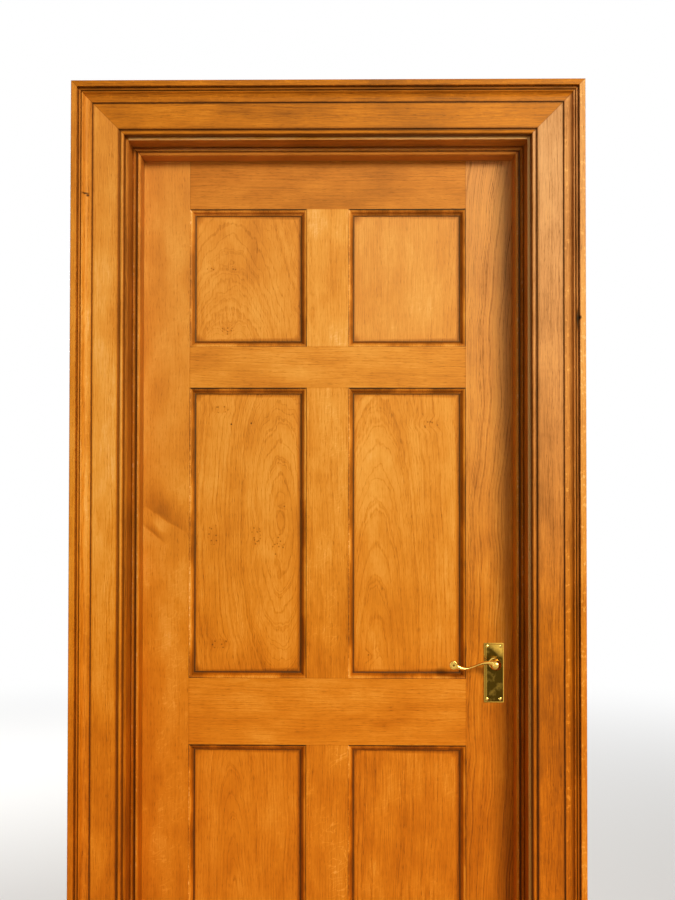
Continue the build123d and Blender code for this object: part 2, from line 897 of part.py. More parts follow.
front_lever = lever()
export("lever_front", front_lever)
export("lever_rear", mirror(front_lever, about=leaf_mid_plane))
export("spindle", square_hole(leaf_front - lever_socket, leaf_rear + lever_socket))
export("grub_screws", grub_screw(), mirror(grub_screw(), about=leaf_mid_plane))


# Leaf: stiles, rails, muntins, panels and the strips round them
def tenon_spans(rail):
    """Lower and upper edges of a rail's tenons."""
    low, high, below, above, count = rail
    start = low + below
    room = high - above - start
    each = (room - (count - 1) * tenon_gap) / count
    return [(start + i * (each + tenon_gap), start + i * (each + tenon_gap) + each) for i in range(count)]


def tenon_wedges(edge, inward):
    """The wedges above and below every tenon at one edge of the leaf."""
    wedges = []
    point = edge + inward * wedge_length
    for rail in rails.values():
        for low, high in tenon_spans(rail):
            upper = [(edge, high), (edge, high + wedge_thickness), (point, high)]
            lower = [(edge, low), (edge, low - wedge_thickness), (point, low)]
            wedges.append(front_prism(upper, groove_front, groove_rear))
            wedges.append(front_prism(lower, groove_front, groove_rear))
    return wedges


def stile(edge, inward):
    """A stile with its panel groove and through mortices, wider outside for the wedges."""
    shoulder = edge + inward * stile_width
    x0, x1 = sorted((edge, shoulder))
    post = block(x0, x1, leaf_front, leaf_rear, leaf_bottom, leaf_top)
    g0, g1 = sorted((shoulder, shoulder - inward * groove_depth))
    post -= block(g0, g1, groove_front, groove_rear, leaf_bottom, leaf_top)
    for rail in rails.values():
        for low, high in tenon_spans(rail):
            post -= block(x0, x1, groove_front, groove_rear, low, high)
    return without(post, tenon_wedges(edge, inward))


def rail_solid(name):
    """A rail with grooves, haunches, through tenons and mortices for the muntins."""
    rail = rails[name]
    low, high = rail[0], rail[1]
    left, right = leaf_left + stile_width, leaf_right - stile_width
    body = block(left, right, leaf_front, leaf_rear, low, high)
    grooved_below = low > leaf_bottom
    grooved_above = high < leaf_top
    haunch_low, haunch_high = low, high
    half_tenon = muntin_width / 2 - groove_depth
    hole = muntin_tenon + mortice_spare
    if grooved_below:
        haunch_low = low + groove_depth
        body -= block(left, right, groove_front, groove_rear, low, haunch_low)
        body -= block(-half_tenon, half_tenon, groove_front, groove_rear, low, low + hole)
    if grooved_above:
        haunch_high = high - groove_depth
        body -= block(left, right, groove_front, groove_rear, haunch_high, high)
        body -= block(-half_tenon, half_tenon, groove_front, groove_rear, high - hole, high)
    body += block(left - groove_depth, left, groove_front, groove_rear, haunch_low, haunch_high)
    body += block(right, right + groove_depth, groove_front, groove_rear, haunch_low, haunch_high)
    for start, end in tenon_spans(rail):
        body += block(leaf_left, left, groove_front, groove_rear, start, end)
        body += block(right, leaf_right, groove_front, groove_rear, start, end)
    return body


def muntin(low, high):
    """A muntin between two rails, grooved on both edges, with a stub tenon at each end."""
    half = muntin_width / 2
    half_tenon = half - groove_depth
    post = block(-half, half, leaf_front, leaf_rear, low, high)
    for x0, x1 in ((-half, -half_tenon), (half_tenon, half)):
        post -= block(x0, x1, groove_front, groove_rear, low, high)
    for z0, z1 in ((low - muntin_tenon, low), (high, high + muntin_tenon)):
        post += block(-half_tenon, half_tenon, groove_front, groove_rear, z0, z1)
    return post


def panel(column, row):
    """A flat panel that stands in the grooves on all four sides."""
    x0, x1 = columns[column]
    z0, z1 = rows[row]
    grip = panel_engagement
    return block(x0 - grip, x1 + grip, groove_front, groove_rear, z0 - grip, z1 + grip)


def panel_strips(column, row, section):
    """Four ogee strips mitred round the front of one panel."""
    x0, x1 = columns[column]
    z0, z1 = rows[row]
    w = strip_width
    mid_x, mid_z = (x0 + x1) / 2, (z0 + z1) / 2
    sides = (
        ((x0, 0, mid_z), (1, 0, 0), [(x0, z0), (x0 + w, z0 + w), (x0 + w, z1 - w), (x0, z1)]),
        ((x1, 0, mid_z), (-1, 0, 0), [(x1, z0), (x1, z1), (x1 - w, z1 - w), (x1 - w, z0 + w)]),
        ((mid_x, 0, z0), (0, 0, 1), [(x0, z0), (x1, z0), (x1 - w, z0 + w), (x0 + w, z0 + w)]),
        ((mid_x, 0, z1), (0, 0, -1), [(x0, z1), (x0 + w, z1 - w), (x1 - w, z1 - w), (x1, z1)]),
    )
    strips = []
    for centre, inward, outline in sides:
        length = 2 * max(x1 - x0, z1 - z0)
        run = bar(section, (centre[0], groove_front, centre[2]), inward, (0, -1, 0), length)
        strips.append(run & front_prism(outline, leaf_front, groove_front))
    return strips


latch_cuts = [
    block(case_left, case_right, case_front, case_rear, case_low, case_high),
    faceplate_blank(),
    rod(spindle_x, leaf_front, spindle_z, lever_collar, leaf_thickness, (0, 1, 0)),
]
door_pockets = [hinge_pocket(level, door_face, 1) for level in hinge_levels.values()]

export("hinge_stile", without(stile(leaf_left, 1), door_pockets + door_hinge_screws))
export("lock_stile", without(stile(leaf_right, -1), latch_cuts + lock_side_screws))
for name in rails:
    export(name, rail_solid(name))
for name, (low, high) in rows.items():
    export("muntin_" + name, muntin(low, high))
export("tenon_wedges", *tenon_wedges(leaf_left, 1), *tenon_wedges(leaf_right, -1))
export("door_screws", *door_hinge_screws, *lock_side_screws)

strip_shape = strip_section()
rear_strips = []
for row in rows:
    for column in columns:
        export("panel_" + row + "_" + column, panel(column, row))
        strips = panel_strips(column, row, strip_shape)
        export("strips_" + row + "_" + column, *strips)
        rear_strips += [mirror(strip, about=leaf_mid_plane) for strip in strips]
export("strips_rear", *rear_strips)

os.makedirs("parts", exist_ok=True)
for name, shape in nodes.items():
    export_step(shape, os.path.join("parts", name + ".step"))
print(len(nodes), "nodes")
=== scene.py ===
import math

import bpy
from mathutils import Matrix, Vector


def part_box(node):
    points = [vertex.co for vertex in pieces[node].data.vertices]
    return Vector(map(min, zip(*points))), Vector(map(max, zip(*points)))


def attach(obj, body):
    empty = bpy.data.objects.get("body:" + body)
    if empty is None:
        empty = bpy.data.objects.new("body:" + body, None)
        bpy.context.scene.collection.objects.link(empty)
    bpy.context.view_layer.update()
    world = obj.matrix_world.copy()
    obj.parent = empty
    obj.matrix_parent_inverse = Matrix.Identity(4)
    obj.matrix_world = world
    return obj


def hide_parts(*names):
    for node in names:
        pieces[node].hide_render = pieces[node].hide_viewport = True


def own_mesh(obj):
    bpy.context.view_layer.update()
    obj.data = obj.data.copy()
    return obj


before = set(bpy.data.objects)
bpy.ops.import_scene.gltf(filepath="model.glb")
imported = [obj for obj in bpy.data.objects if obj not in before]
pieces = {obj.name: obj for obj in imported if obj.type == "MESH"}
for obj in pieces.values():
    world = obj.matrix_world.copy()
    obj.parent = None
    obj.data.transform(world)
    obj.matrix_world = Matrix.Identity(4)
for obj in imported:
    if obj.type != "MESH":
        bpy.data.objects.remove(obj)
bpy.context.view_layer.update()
for piece in pieces.values():
    piece.data.materials.clear()


# Leaf framing: two stiles, four rails and three muntins of quarter-sawn oak, mortised and
# wedged together, then waxed until the timber turned honey-orange with a low, soft sheen.
# Each board keeps its own figure: rings, ray flecks, fine pores, and dirt in the joints.
def linear(hex_colour):
    """A colour written as sRGB hex, as the linear values that a node takes."""
    channels = [int(hex_colour[i:i + 2], 16) / 255 for i in (1, 3, 5)]
    bent = [c / 12.92 if c <= 0.04045 else ((c + 0.055) / 1.055) ** 2.4 for c in channels]
    return (*bent, 1.0)


def add(tree, kind, feeds, out=0, stops=(), **settings):
    """Adds a node with its settings, fills or links its inputs, and gives back one output.

    Inputs go by number or by name. A Map Range reads the range 1 to 2 and gives the range
    3 to 4, which is 0 to 1 if left out. A Mix of colours goes by share 0 from 6 to 7.
    """
    made = tree.nodes.new(kind)
    for key, value in settings.items():
        setattr(made, key, value)
    for number, (place, colour) in enumerate(stops):
        ramp = made.color_ramp.elements
        stop = ramp[number] if number < len(ramp) else ramp.new(place)
        stop.position = place
        stop.color = linear(colour) if isinstance(colour, str) else (colour, colour, colour, 1.0)
    for key, value in feeds.items():
        if isinstance(value, bpy.types.NodeSocket):
            tree.links.new(value, made.inputs[key])
        else:
            made.inputs[key].default_value = value
    return made.outputs[out]


def new_material(name):
    """An empty node material, with its tree and its shader."""
    made = bpy.data.materials.new(name)
    made.use_nodes = True
    tree = made.node_tree
    return made, tree, tree.nodes["Principled BSDF"]


def finish_piece(node, material):
    """Gives a piece of the door its finish."""
    pieces[node].data.materials.append(material)


def middle_of(node):
    """The middle of a piece's near face."""
    low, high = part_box(node)
    return Vector(((low.x + high.x) / 2, low.y, (low.z + high.z) / 2))


def nearness(tree, place, middle, reach):
    """One at the middle of a mark in the board, falling to nothing at its reach."""
    away = add(tree, "ShaderNodeVectorMath", {0: place, 1: middle}, operation="SUBTRACT")
    shares = (1 / reach[0], 0.0, 1 / reach[1])
    flat = add(tree, "ShaderNodeVectorMath", {0: away, 1: shares}, operation="MULTIPLY")
    gap = add(tree, "ShaderNodeVectorMath", {0: flat}, out=1, operation="LENGTH")
    return add(tree, "ShaderNodeMapRange", {0: gap, 1: 1.0, 2: 0.0}, interpolation_type="SMOOTHSTEP")


def log_rings(tree, place, cut, parts, middle, pith, lean, ring, sway, pips):
    """The rings of the log as the board's face cuts them, and the dark line that ends a year."""
    across, through, along = parts
    wander_rate = (5.0, 2.0, 3.4)  # waves in a metre: one is 200 mm across and 290 mm along
    ripple_rate = (45.0, 12.0, 26.0)  # 22 mm across and 38 mm along
    drift = add(tree, "ShaderNodeVectorMath", {0: cut, 1: wander_rate}, operation="MULTIPLY")
    wander = add(tree, "ShaderNodeTexNoise", {0: drift, "Scale": 1.0, "Detail": 2.0})
    quick = add(tree, "ShaderNodeVectorMath", {0: cut, 1: ripple_rate}, operation="MULTIPLY")
    ripple = add(tree, "ShaderNodeTexNoise", {0: quick, "Scale": 1.0, "Detail": 2.0})

    swayed = add(tree, "ShaderNodeMath", {0: wander, 1: sway * 6, 2: across}, operation="MULTIPLY_ADD")
    swayed = add(tree, "ShaderNodeMath", {0: ripple, 1: sway * 0.4, 2: swayed}, operation="MULTIPLY_ADD")
    mean_sway = sway * 3.2
    sideways = add(tree, "ShaderNodeMath", {0: swayed, 1: pith[0] + mean_sway}, operation="SUBTRACT")
    behind = add(tree, "ShaderNodeMath", {0: along, 1: lean, 2: pith[1]}, operation="MULTIPLY_ADD")
    behind = add(tree, "ShaderNodeMath", {0: ripple, 1: lean * 0.05, 2: behind}, operation="MULTIPLY_ADD")
    behind = add(tree, "ShaderNodeMath", {0: behind, 1: through}, operation="ADD")
    spot = add(tree, "ShaderNodeCombineXYZ", {0: sideways, 1: behind})
    heart = add(tree, "ShaderNodeVectorMath", {0: spot}, out=1, operation="LENGTH")
    for x, z, wide, high in pips:
        bend = nearness(tree, place, (x, middle[1], z), (wide * 2, high * 2))
        heart = add(tree, "ShaderNodeMath", {0: bend, 1: ring, 2: heart}, operation="MULTIPLY_ADD")

    year = add(tree, "ShaderNodeMath", {0: heart, 1: 1 / ring}, operation="MULTIPLY")
    band = add(tree, "ShaderNodeTexNoise", {"W": year, "Scale": 1.0, "Detail": 2.0}, noise_dimensions="1D")
    crest = add(tree, "ShaderNodeMath", {0: band, 1: 0.5}, operation="SUBTRACT")
    crest = add(tree, "ShaderNodeMath", {0: crest}, operation="ABSOLUTE")
    dark_line = add(tree, "ShaderNodeMapRange", {0: crest, 1: 0.05, 2: 0.0})
    return band, dark_line


def open_grain(tree, cut, dark_line, low_down):
    """Fibres, open pores, ray flecks and the slow clouds of tone that run over a board."""
    fibre_rate = (460.0, 380.0, 17.0)  # in a metre: a fibre is 2 mm wide and 60 mm long
    pore_rate = (900.0, 700.0, 70.0)  # real pores are 0.3 mm wide and drawn twice as wide
    fleck_rate = (30.0, 20.0, 75.0)  # flecks lie 33 mm apart across and 13 mm along
    fleck_slant = math.radians(24)
    cloud_rate = (16.0, 6.0, 7.0)  # 60 mm across and 140 mm along
    fibre_place = add(tree, "ShaderNodeVectorMath", {0: cut, 1: fibre_rate}, operation="MULTIPLY")
    fibre = add(tree, "ShaderNodeTexNoise", {0: fibre_place, "Scale": 1.0, "Detail": 3.0, "Roughness": 0.75})
    pore_place = add(tree, "ShaderNodeVectorMath", {0: cut, 1: pore_rate}, operation="MULTIPLY")
    pore = add(tree, "ShaderNodeTexNoise", {0: pore_place, "Scale": 1.0, "Detail": 1.0})
    pore = add(tree, "ShaderNodeMapRange", {0: pore, 1: 0.56, 2: 0.7})
    gathered = add(tree, "ShaderNodeMath", {0: dark_line, 1: 0.6, 2: 0.4}, operation="MULTIPLY_ADD")
    pore = add(tree, "ShaderNodeMath", {0: pore, 1: gathered}, operation="MULTIPLY")

    slanted = add(tree, "ShaderNodeMapping", {0: cut, 2: (0, fleck_slant, 0)})
    fleck_place = add(tree, "ShaderNodeVectorMath", {0: slanted, 1: fleck_rate}, operation="MULTIPLY")
    fleck = add(tree, "ShaderNodeTexNoise", {0: fleck_place, "Scale": 1.0, "Detail": 1.0})
    fleck = add(tree, "ShaderNodeMath", {0: fleck, 1: 0.5}, operation="SUBTRACT")
    fleck = add(tree, "ShaderNodeMath", {0: fleck}, operation="ABSOLUTE")
    fleck = add(tree, "ShaderNodeMapRange", {0: fleck, 1: 0.022, 2: 0.0})
    more = add(tree, "ShaderNodeMapRange", {0: low_down, 3: 0.5, 4: 1.2})
    cloud_place = add(tree, "ShaderNodeVectorMath", {0: cut, 1: cloud_rate}, operation="MULTIPLY")
    cloud = add(tree, "ShaderNodeTexNoise", {0: cloud_place, "Scale": 1.0, "Detail": 3.0, "Roughness": 0.6})
    some = add(tree, "ShaderNodeMapRange", {0: cloud, 1: 0.47, 2: 0.6})
    some = add(tree, "ShaderNodeMath", {0: some, 1: more}, operation="MULTIPLY")
    fleck = add(tree, "ShaderNodeMath", {0: fleck, 1: some}, operation="MULTIPLY")
    return fibre, pore, fleck, cloud


def pin_knots(tree, place, cut, middle, pips, level):
    """Pippy oak: patches of pin knots, each knot a dark speck about 3 mm wide."""
    speck_rate = 150.0
    face = add(tree, "ShaderNodeMapping", {0: cut, 2: (math.pi / 2, 0, 0)})
    cell = add(tree, "ShaderNodeTexVoronoi", {0: face, "Scale": speck_rate}, voronoi_dimensions="2D")
    filled = add(tree, "ShaderNodeMapRange", {0: cell.node.outputs["Color"], 1: 0.5, 2: 0.55})
    speck = add(tree, "ShaderNodeMapRange", {0: cell, 1: 0.34, 2: 0.08})
    speck = add(tree, "ShaderNodeMath", {0: speck, 1: filled}, operation="MULTIPLY")
    patch_depth, speck_depth = 0.02, 0.22
    for x, z, wide, high in pips:
        inside = nearness(tree, place, (x, middle[1], z), (wide, high))
        inside = add(tree, "ShaderNodeMapRange", {0: inside, 1: 0.1, 2: 0.3})
        level = add(tree, "ShaderNodeMath", {0: inside, 1: -patch_depth, 2: level}, operation="MULTIPLY_ADD")
        inside = add(tree, "ShaderNodeMath", {0: inside, 1: speck}, operation="MULTIPLY")
        level = add(tree, "ShaderNodeMath", {0: inside, 1: -speck_depth, 2: level}, operation="MULTIPLY_ADD")
    return level


oak_tones = [(0.08, "#241002"), (0.26, "#683404"), (0.4, "#9A5206"), (0.52, "#C26D0A"),
             (0.6, "#D5811A"), (0.68, "#E39735"), (0.8, "#F2B468")]
knee_height, chest_height = 0.6, 1.4  # painted shade deepens and reddens the wax between the two
# painted sheen pales the wax between these two heights, and painted shade from the head darkens it between
# the next two
painted_sheen_from, painted_sheen_to = 1.05, 2.0
head_shade_from, head_shade_to = 1.7, 2.05


def oak(name, middle, seed, upright=True, pith=(0.5, 0.1), lean=0.02, ring=0.005, figure=0.07,
        rays=0.06, sway=0.006, streak=0.26, tone=0.6, foot=0.0, brow=0.0, pale=0.07,
        pips=(), nicks=(), ends=None, dirt=None):
    """Waxed oak, for one board whose grain stands upright or lies across the door.

    The log: pith is where its heart lies from the board's middle, across and behind, lean is
    how much deeper it lies with each metre along the board, and ring is the width of a year.
    The figure: how strongly the rings, the rays and the streaks of fibre show, and how far
    the grain sways. The tone: the board's mean; foot is painted shade that darkens it towards
    the floor, brow is painted shade that darkens it towards the head, and pale is a painted
    sheen that pales it higher up. Marks: pips are patches of pin knots and nicks are bruises,
    each as x, z, half width and half height. Dirt sits at the board's ends, where ends is half
    the length between its joints, and the function dirt adds dirt, figure, painted light and
    shade, as each board needs.
    """
    made, tree, shader = new_material(name)
    place = add(tree, "ShaderNodeTexCoord", {}, out=3)
    turn = 0 if upright else math.pi / 2
    spin = Matrix.Rotation(turn, 3, "Y")
    board = add(tree, "ShaderNodeMapping", {0: place, 1: -(spin @ Vector(middle)), 2: (0, turn, 0)})
    parts = add(tree, "ShaderNodeSeparateXYZ", {0: board}).node.outputs
    place_in_log = (seed * 3.7, seed * 1.3, seed * 5.1)
    cut = add(tree, "ShaderNodeVectorMath", {0: board, 1: place_in_log}, operation="ADD")
    height = add(tree, "ShaderNodeSeparateXYZ", {0: place}, out=2)
    low_down = add(tree, "ShaderNodeMapRange", {0: height, 1: chest_height, 2: knee_height},
                   interpolation_type="SMOOTHSTEP")
    high_up = add(tree, "ShaderNodeMapRange", {0: height, 1: head_shade_from, 2: head_shade_to},
                  interpolation_type="SMOOTHSTEP")
    band, dark_line = log_rings(tree, place, cut, parts, middle, pith, lean, ring, sway, pips)
    fibre, pore, fleck, cloud = open_grain(tree, cut, dark_line, low_down)
    broken = add(tree, "ShaderNodeMapRange", {0: fibre, 1: 0.62, 2: 0.4, 3: 0.25})
    broken = add(tree, "ShaderNodeMath", {0: dark_line, 1: broken}, operation="MULTIPLY")

    # all of it adds up to one tone, from which the patterns' own mean is taken off first
    mean = tone - streak / 2 - figure * 0.2 - 0.14
    level = add(tree, "ShaderNodeMath", {0: fibre, 1: streak, 2: mean}, operation="MULTIPLY_ADD")
    for pattern, strength in ((cloud, 0.3), (broken, -figure * 1.6), (band, figure * 0.7),
                              (pore, -0.14), (fleck, rays), (low_down, -foot), (high_up, -brow)):
        level = add(tree, "ShaderNodeMath", {0: pattern, 1: strength, 2: level}, operation="MULTIPLY_ADD")
    if pips:
        level = pin_knots(tree, place, cut, middle, pips, level)
    for x, z, wide, high in nicks:
        gash = nearness(tree, place, (x, middle[1], z), (wide, high))
        level = add(tree, "ShaderNodeMath", {0: gash, 1: -0.5, 2: level}, operation="MULTIPLY_ADD")
    if ends:
        edge = add(tree, "ShaderNodeMath", {0: parts[2]}, operation="ABSOLUTE")
        grime_and_shade = add(tree, "ShaderNodeMapRange", {0: edge, 1: ends - 0.0022, 2: ends - 0.0004, 4: 0.07})
        level = add(tree, "ShaderNodeMath", {0: level, 1: grime_and_shade}, operation="SUBTRACT")
    if dirt:
        level = dirt(tree, place, level, cloud)
    colour = add(tree, "ShaderNodeValToRGB", {0: level}, stops=oak_tones)

    # the timber is redder towards the floor, partly its own deeper tone and partly painted
    # shade where light and sheen fall off, and a painted sheen pales its lighter wood towards
    # the head
    redder = (1.0, 0.8, 0.45, 1.0)
    colour = add(tree, "ShaderNodeMix", {0: low_down, 6: colour, 7: redder}, out=2,
                 data_type="RGBA", blend_type="MULTIPLY")
    painted_sheen = add(tree, "ShaderNodeMapRange", {0: height, 1: painted_sheen_from, 2: painted_sheen_to, 4: pale})
    clean = add(tree, "ShaderNodeMapRange", {0: level, 1: 0.3, 2: 0.55})
    painted_sheen = add(tree, "ShaderNodeMath", {0: painted_sheen, 1: clean}, operation="MULTIPLY")
    colour = add(tree, "ShaderNodeMix", {0: painted_sheen, 6: colour, 7: linear("#DAB482")}, out=2,
                 data_type="RGBA")
    tree.links.new(colour, shader.inputs["Base Color"])
    sheen = add(tree, "ShaderNodeMapRange", {0: fibre, 1: 0.3, 2: 0.7, 3: 0.42, 4: 0.56})
    tree.links.new(sheen, shader.inputs["Roughness"])
    bump = add(tree, "ShaderNodeBump", {"Strength": 0.3, "Distance": 0.0005, "Height": fibre})
    tree.links.new(bump, shader.inputs["Normal"])
    shader.inputs["IOR"].default_value = 1.44
    shader.inputs["Specular IOR Level"].default_value = 0.24
    shader.inputs["Specular Tint"].default_value = linear("#FFE09A")
    return made


def cut_from_oak(node, seed, **board):
    """Gives a piece its own board of oak, cut from its own place in the log."""
    finish_piece(node, oak("oak_" + node, middle_of(node), seed, **board))


# Grain thrown sideways where a branch left the trunk: two dark feathers with a sharp foot,
# each leaning over, as deep in tone as given, fading over a length and spread over a width.
branch_feathers = (dict(x=-0.339, z=1.257, lean=0.978, depth=0.16, fade=0.07, spread=0.085),
                   dict(x=-0.367, z=1.233, lean=0.834, depth=0.18, fade=0.015, spread=0.045))
sharp_from, sharp_to = 0.013, 0.017
bright_spot, bright_reach = (-0.356, 0.0, 1.249), (0.03, 0.03)


def branch_swirl(tree, place, level, cloud):
    """The feathers of the branch, and the bright wood that lies between them."""
    for feather in branch_feathers:
        x, z, lean, fade, spread = (feather[key] for key in ("x", "z", "lean", "fade", "spread"))
        inside = nearness(tree, place, (x, 0.0, z + fade / 3), (spread, spread))
        away = add(tree, "ShaderNodeVectorMath", {0: place, 1: (x, 0.0, z)}, operation="SUBTRACT")
        over = add(tree, "ShaderNodeVectorMath", {0: away, 1: (math.cos(lean), 0.0, math.sin(lean))},
                   out=1, operation="DOT_PRODUCT")
        over = add(tree, "ShaderNodeMath", {0: cloud, 1: 0.03, 2: over}, operation="MULTIPLY_ADD")
        foot = add(tree, "ShaderNodeMapRange", {0: over, 1: sharp_from, 2: sharp_to})
        tail = add(tree, "ShaderNodeMapRange", {0: over, 1: sharp_to + fade, 2: sharp_to})
        dark = add(tree, "ShaderNodeMath", {0: foot, 1: tail}, operation="MULTIPLY")
        dark = add(tree, "ShaderNodeMath", {0: dark, 1: inside}, operation="MULTIPLY")
        level = add(tree, "ShaderNodeMath", {0: dark, 1: -feather["depth"], 2: level},
                    operation="MULTIPLY_ADD")
    bright = nearness(tree, place, bright_spot, bright_reach)
    return add(tree, "ShaderNodeMath", {0: bright, 1: 0.06, 2: level}, operation="MULTIPLY_ADD")


# on each board, foot is painted shade towards the floor and pale a painted sheen higher up
cut_from_oak("hinge_stile", 1.0, pith=(-0.7, 0.2), ring=0.007, figure=0.02, rays=0.05, streak=0.1,
             tone=0.6, foot=0.03, pale=0.1, dirt=branch_swirl)
cut_from_oak("lock_stile", 2.0, pith=(0.19, 0.09), lean=0.09, ring=0.0055, figure=0.12, rays=0.0,
             sway=0.009, streak=0.22, tone=0.56, foot=0.04, pale=0.24)
panel_grip = 0.010  # how far a panel sits in its grooves
stub_tenon = 0.030  # how far a muntin goes into a rail
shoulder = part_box("panel_top_right")[1].x - panel_grip
# the top rail is toned darker than the others: painted shade under the head
rails = {"top_rail": 0.51, "frieze_rail": 0.585, "lock_rail": 0.59, "bottom_rail": 0.57}
for number, (rail, tone) in enumerate(rails.items()):
    cut_from_oak(rail, 3.0 + number, upright=False, pith=(0.5, 0.2), lean=0.03, ring=0.006,
                 figure=0.04, rays=0.02, streak=0.2, tone=tone, ends=shoulder)
# foot on the muntins is painted shade towards the floor
muntins = {"muntin_top": 0.65, "muntin_middle": 0.61, "muntin_bottom": 0.665}
for number, (muntin, tone) in enumerate(muntins.items()):
    low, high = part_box(muntin)
    cut_from_oak(muntin, 8.0 + number, pith=(0.4, 0.1), ring=0.006, figure=0.03, rays=0.08,
                 tone=tone, foot=0.09, ends=(high.z - low.z) / 2 - stub_tenon)
finish_piece("tenon_wedges", oak("oak_wedges", middle_of("tenon_wedges"), 12.0, upright=False, tone=0.45))


# Panels: six flat boards of plain-sawn and pippy oak, sunk in grooves. The cathedral
# arches, the pin knots and the dirt along the edges are placed as on the real boards, and
# the strips' painted shadow lies along the edges with the dirt.
strip_width = 0.013


def panel_dirt_and_shade(middle, half_wide, half_high):
    """Dirt that a duster leaves along the foot of the strips, further out in the corners,
    with the strips' painted shadow along the same foot, deeper towards the right.
    """
    rim_from, rim_to, rim_depth = -0.002, 0.006, 0.22
    corner_from, corner_to, corner_depth = 0.006, 0.03, 0.22
    rim_ragged, corner_ragged = 0.009, 0.06
    # the strips' painted shadow reaches further into the panel towards its right
    more_to_the_right = 0.022

    def shade(tree, place, level, cloud):
        away = add(tree, "ShaderNodeVectorMath", {0: place, 1: middle}, operation="SUBTRACT")
        near = add(tree, "ShaderNodeVectorMath", {0: away}, operation="ABSOLUTE")
        edges = (half_wide, 0, half_high)
        gap = add(tree, "ShaderNodeVectorMath", {0: near, 1: edges}, operation="SUBTRACT")
        across, _, up = add(tree, "ShaderNodeSeparateXYZ", {0: gap}).node.outputs
        rim = add(tree, "ShaderNodeMath", {0: across, 1: up}, operation="MAXIMUM")
        rim = add(tree, "ShaderNodeMath", {0: cloud, 1: rim_ragged, 2: rim}, operation="MULTIPLY_ADD")
        side = add(tree, "ShaderNodeSeparateXYZ", {0: away})
        rim = add(tree, "ShaderNodeMath", {0: side, 1: more_to_the_right, 2: rim}, operation="MULTIPLY_ADD")
        grime_and_shade = add(tree, "ShaderNodeMapRange", {0: rim, 1: rim_from, 2: rim_to, 4: rim_depth})
        corner = add(tree, "ShaderNodeMath", {0: across, 1: up}, operation="ADD")
        corner = add(tree, "ShaderNodeMath", {0: cloud, 1: corner_ragged, 2: corner},
                     operation="MULTIPLY_ADD")
        corner = add(tree, "ShaderNodeMapRange", {0: corner, 1: corner_from, 2: corner_to, 4: corner_depth})
        grime_and_shade = add(tree, "ShaderNodeMath", {0: grime_and_shade, 1: corner}, operation="MAXIMUM")
        return add(tree, "ShaderNodeMath", {0: level, 1: grime_and_shade}, operation="SUBTRACT")
    return shade


# foot is painted shade towards the floor, and pale on the top right panel a painted sheen
panels = {
    "panel_top_left": dict(
        seed=21.0, pith=(-0.037, 0.088), lean=0.27, ring=0.0085, figure=0.045, rays=0.03,
        sway=0.010, streak=0.18, tone=0.6,
        pips=((-0.250, 1.799, 0.012, 0.009), (-0.201, 1.799, 0.010, 0.008),
              (-0.215, 1.671, 0.016, 0.022), (-0.070, 1.716, 0.013, 0.013))),
    "panel_top_right": dict(
        seed=22.0, pith=(0.3, 0.08), lean=0.10, ring=0.008, figure=0.03, rays=0.05, tone=0.615,
        pale=0.16),
    "panel_middle_left": dict(
        seed=23.0, pith=(0.071, -0.0095), lean=0.25, ring=0.009, figure=0.055, rays=0.02,
        streak=0.2, tone=0.605, foot=0.04,
        pips=((-0.230, 1.498, 0.026, 0.012), (-0.243, 1.230, 0.018, 0.030),
              (-0.152, 1.228, 0.014, 0.036), (-0.097, 1.290, 0.010, 0.006),
              (-0.105, 1.208, 0.018, 0.034), (-0.230, 0.998, 0.034, 0.014)),
        nicks=((-0.2055, 1.4658, 0.0027, 0.003), (-0.163, 1.468, 0.0022, 0.003))),
    "panel_middle_right": dict(
        seed=24.0, pith=(-0.063, 0.05), lean=0.14, ring=0.010, figure=0.05, rays=0.02,
        streak=0.18, tone=0.615, foot=0.05,
        pips=((0.213, 1.466, 0.034, 0.011), (0.092, 0.971, 0.012, 0.010))),
    "panel_bottom_left": dict(
        seed=25.0, pith=(-0.030, 0.004), lean=0.13, ring=0.006, figure=0.05, rays=0.02,
        streak=0.2, tone=0.585),
    "panel_bottom_right": dict(
        seed=26.0, pith=(0.35, 0.09), lean=0.08, ring=0.008, figure=0.06, rays=0.03,
        streak=0.3, tone=0.555),
}
openings = {}  # the middle and half size of each opening, which its strips follow too
for node, board in panels.items():
    low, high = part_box(node)
    half = (high - low) / 2 - Vector((panel_grip, 0, panel_grip))
    openings[node] = (middle_of(node), half)
    shade = panel_dirt_and_shade(middle_of(node), half.x - strip_width, half.z - strip_width)
    cut_from_oak(node, dirt=shade, **board)


# Panel strips: an ogee mitred round each panel and pinned to the framing. The wax has
# darkened in the joint with the framing, the foot is dark with dirt and painted shade, and
# the round is pale. Strips at the left and the bottom, which face the lamp, are painted
# lighter, and those at the top darker.
def strip_stain_and_shade(tree, step, level, cloud):
    """Dark in the joint, pale on the round, dirt and painted shade at the foot, a few stains."""
    share = add(tree, "ShaderNodeMath", {0: step, 1: 1 / strip_width, 2: -0.09}, operation="MULTIPLY_ADD")
    share = add(tree, "ShaderNodeMath", {0: cloud, 1: 0.18, 2: share}, operation="MULTIPLY_ADD")
    tone = add(tree, "ShaderNodeValToRGB", {0: share}, stops=[
        (0.0, 0.22), (0.09, 0.36), (0.18, 0.97), (0.35, 0.96), (0.6, 0.9), (0.8, 0.74), (0.9, 0.35),
        (1.0, 0.36)])
    level = add(tree, "ShaderNodeMath", {0: level, 1: tone}, operation="MULTIPLY")
    stain = add(tree, "ShaderNodeMapRange", {0: cloud, 1: 0.4, 2: 0.56, 3: 0.8, 4: 1.04})
    return add(tree, "ShaderNodeMath", {0: level, 1: stain}, operation="MULTIPLY")


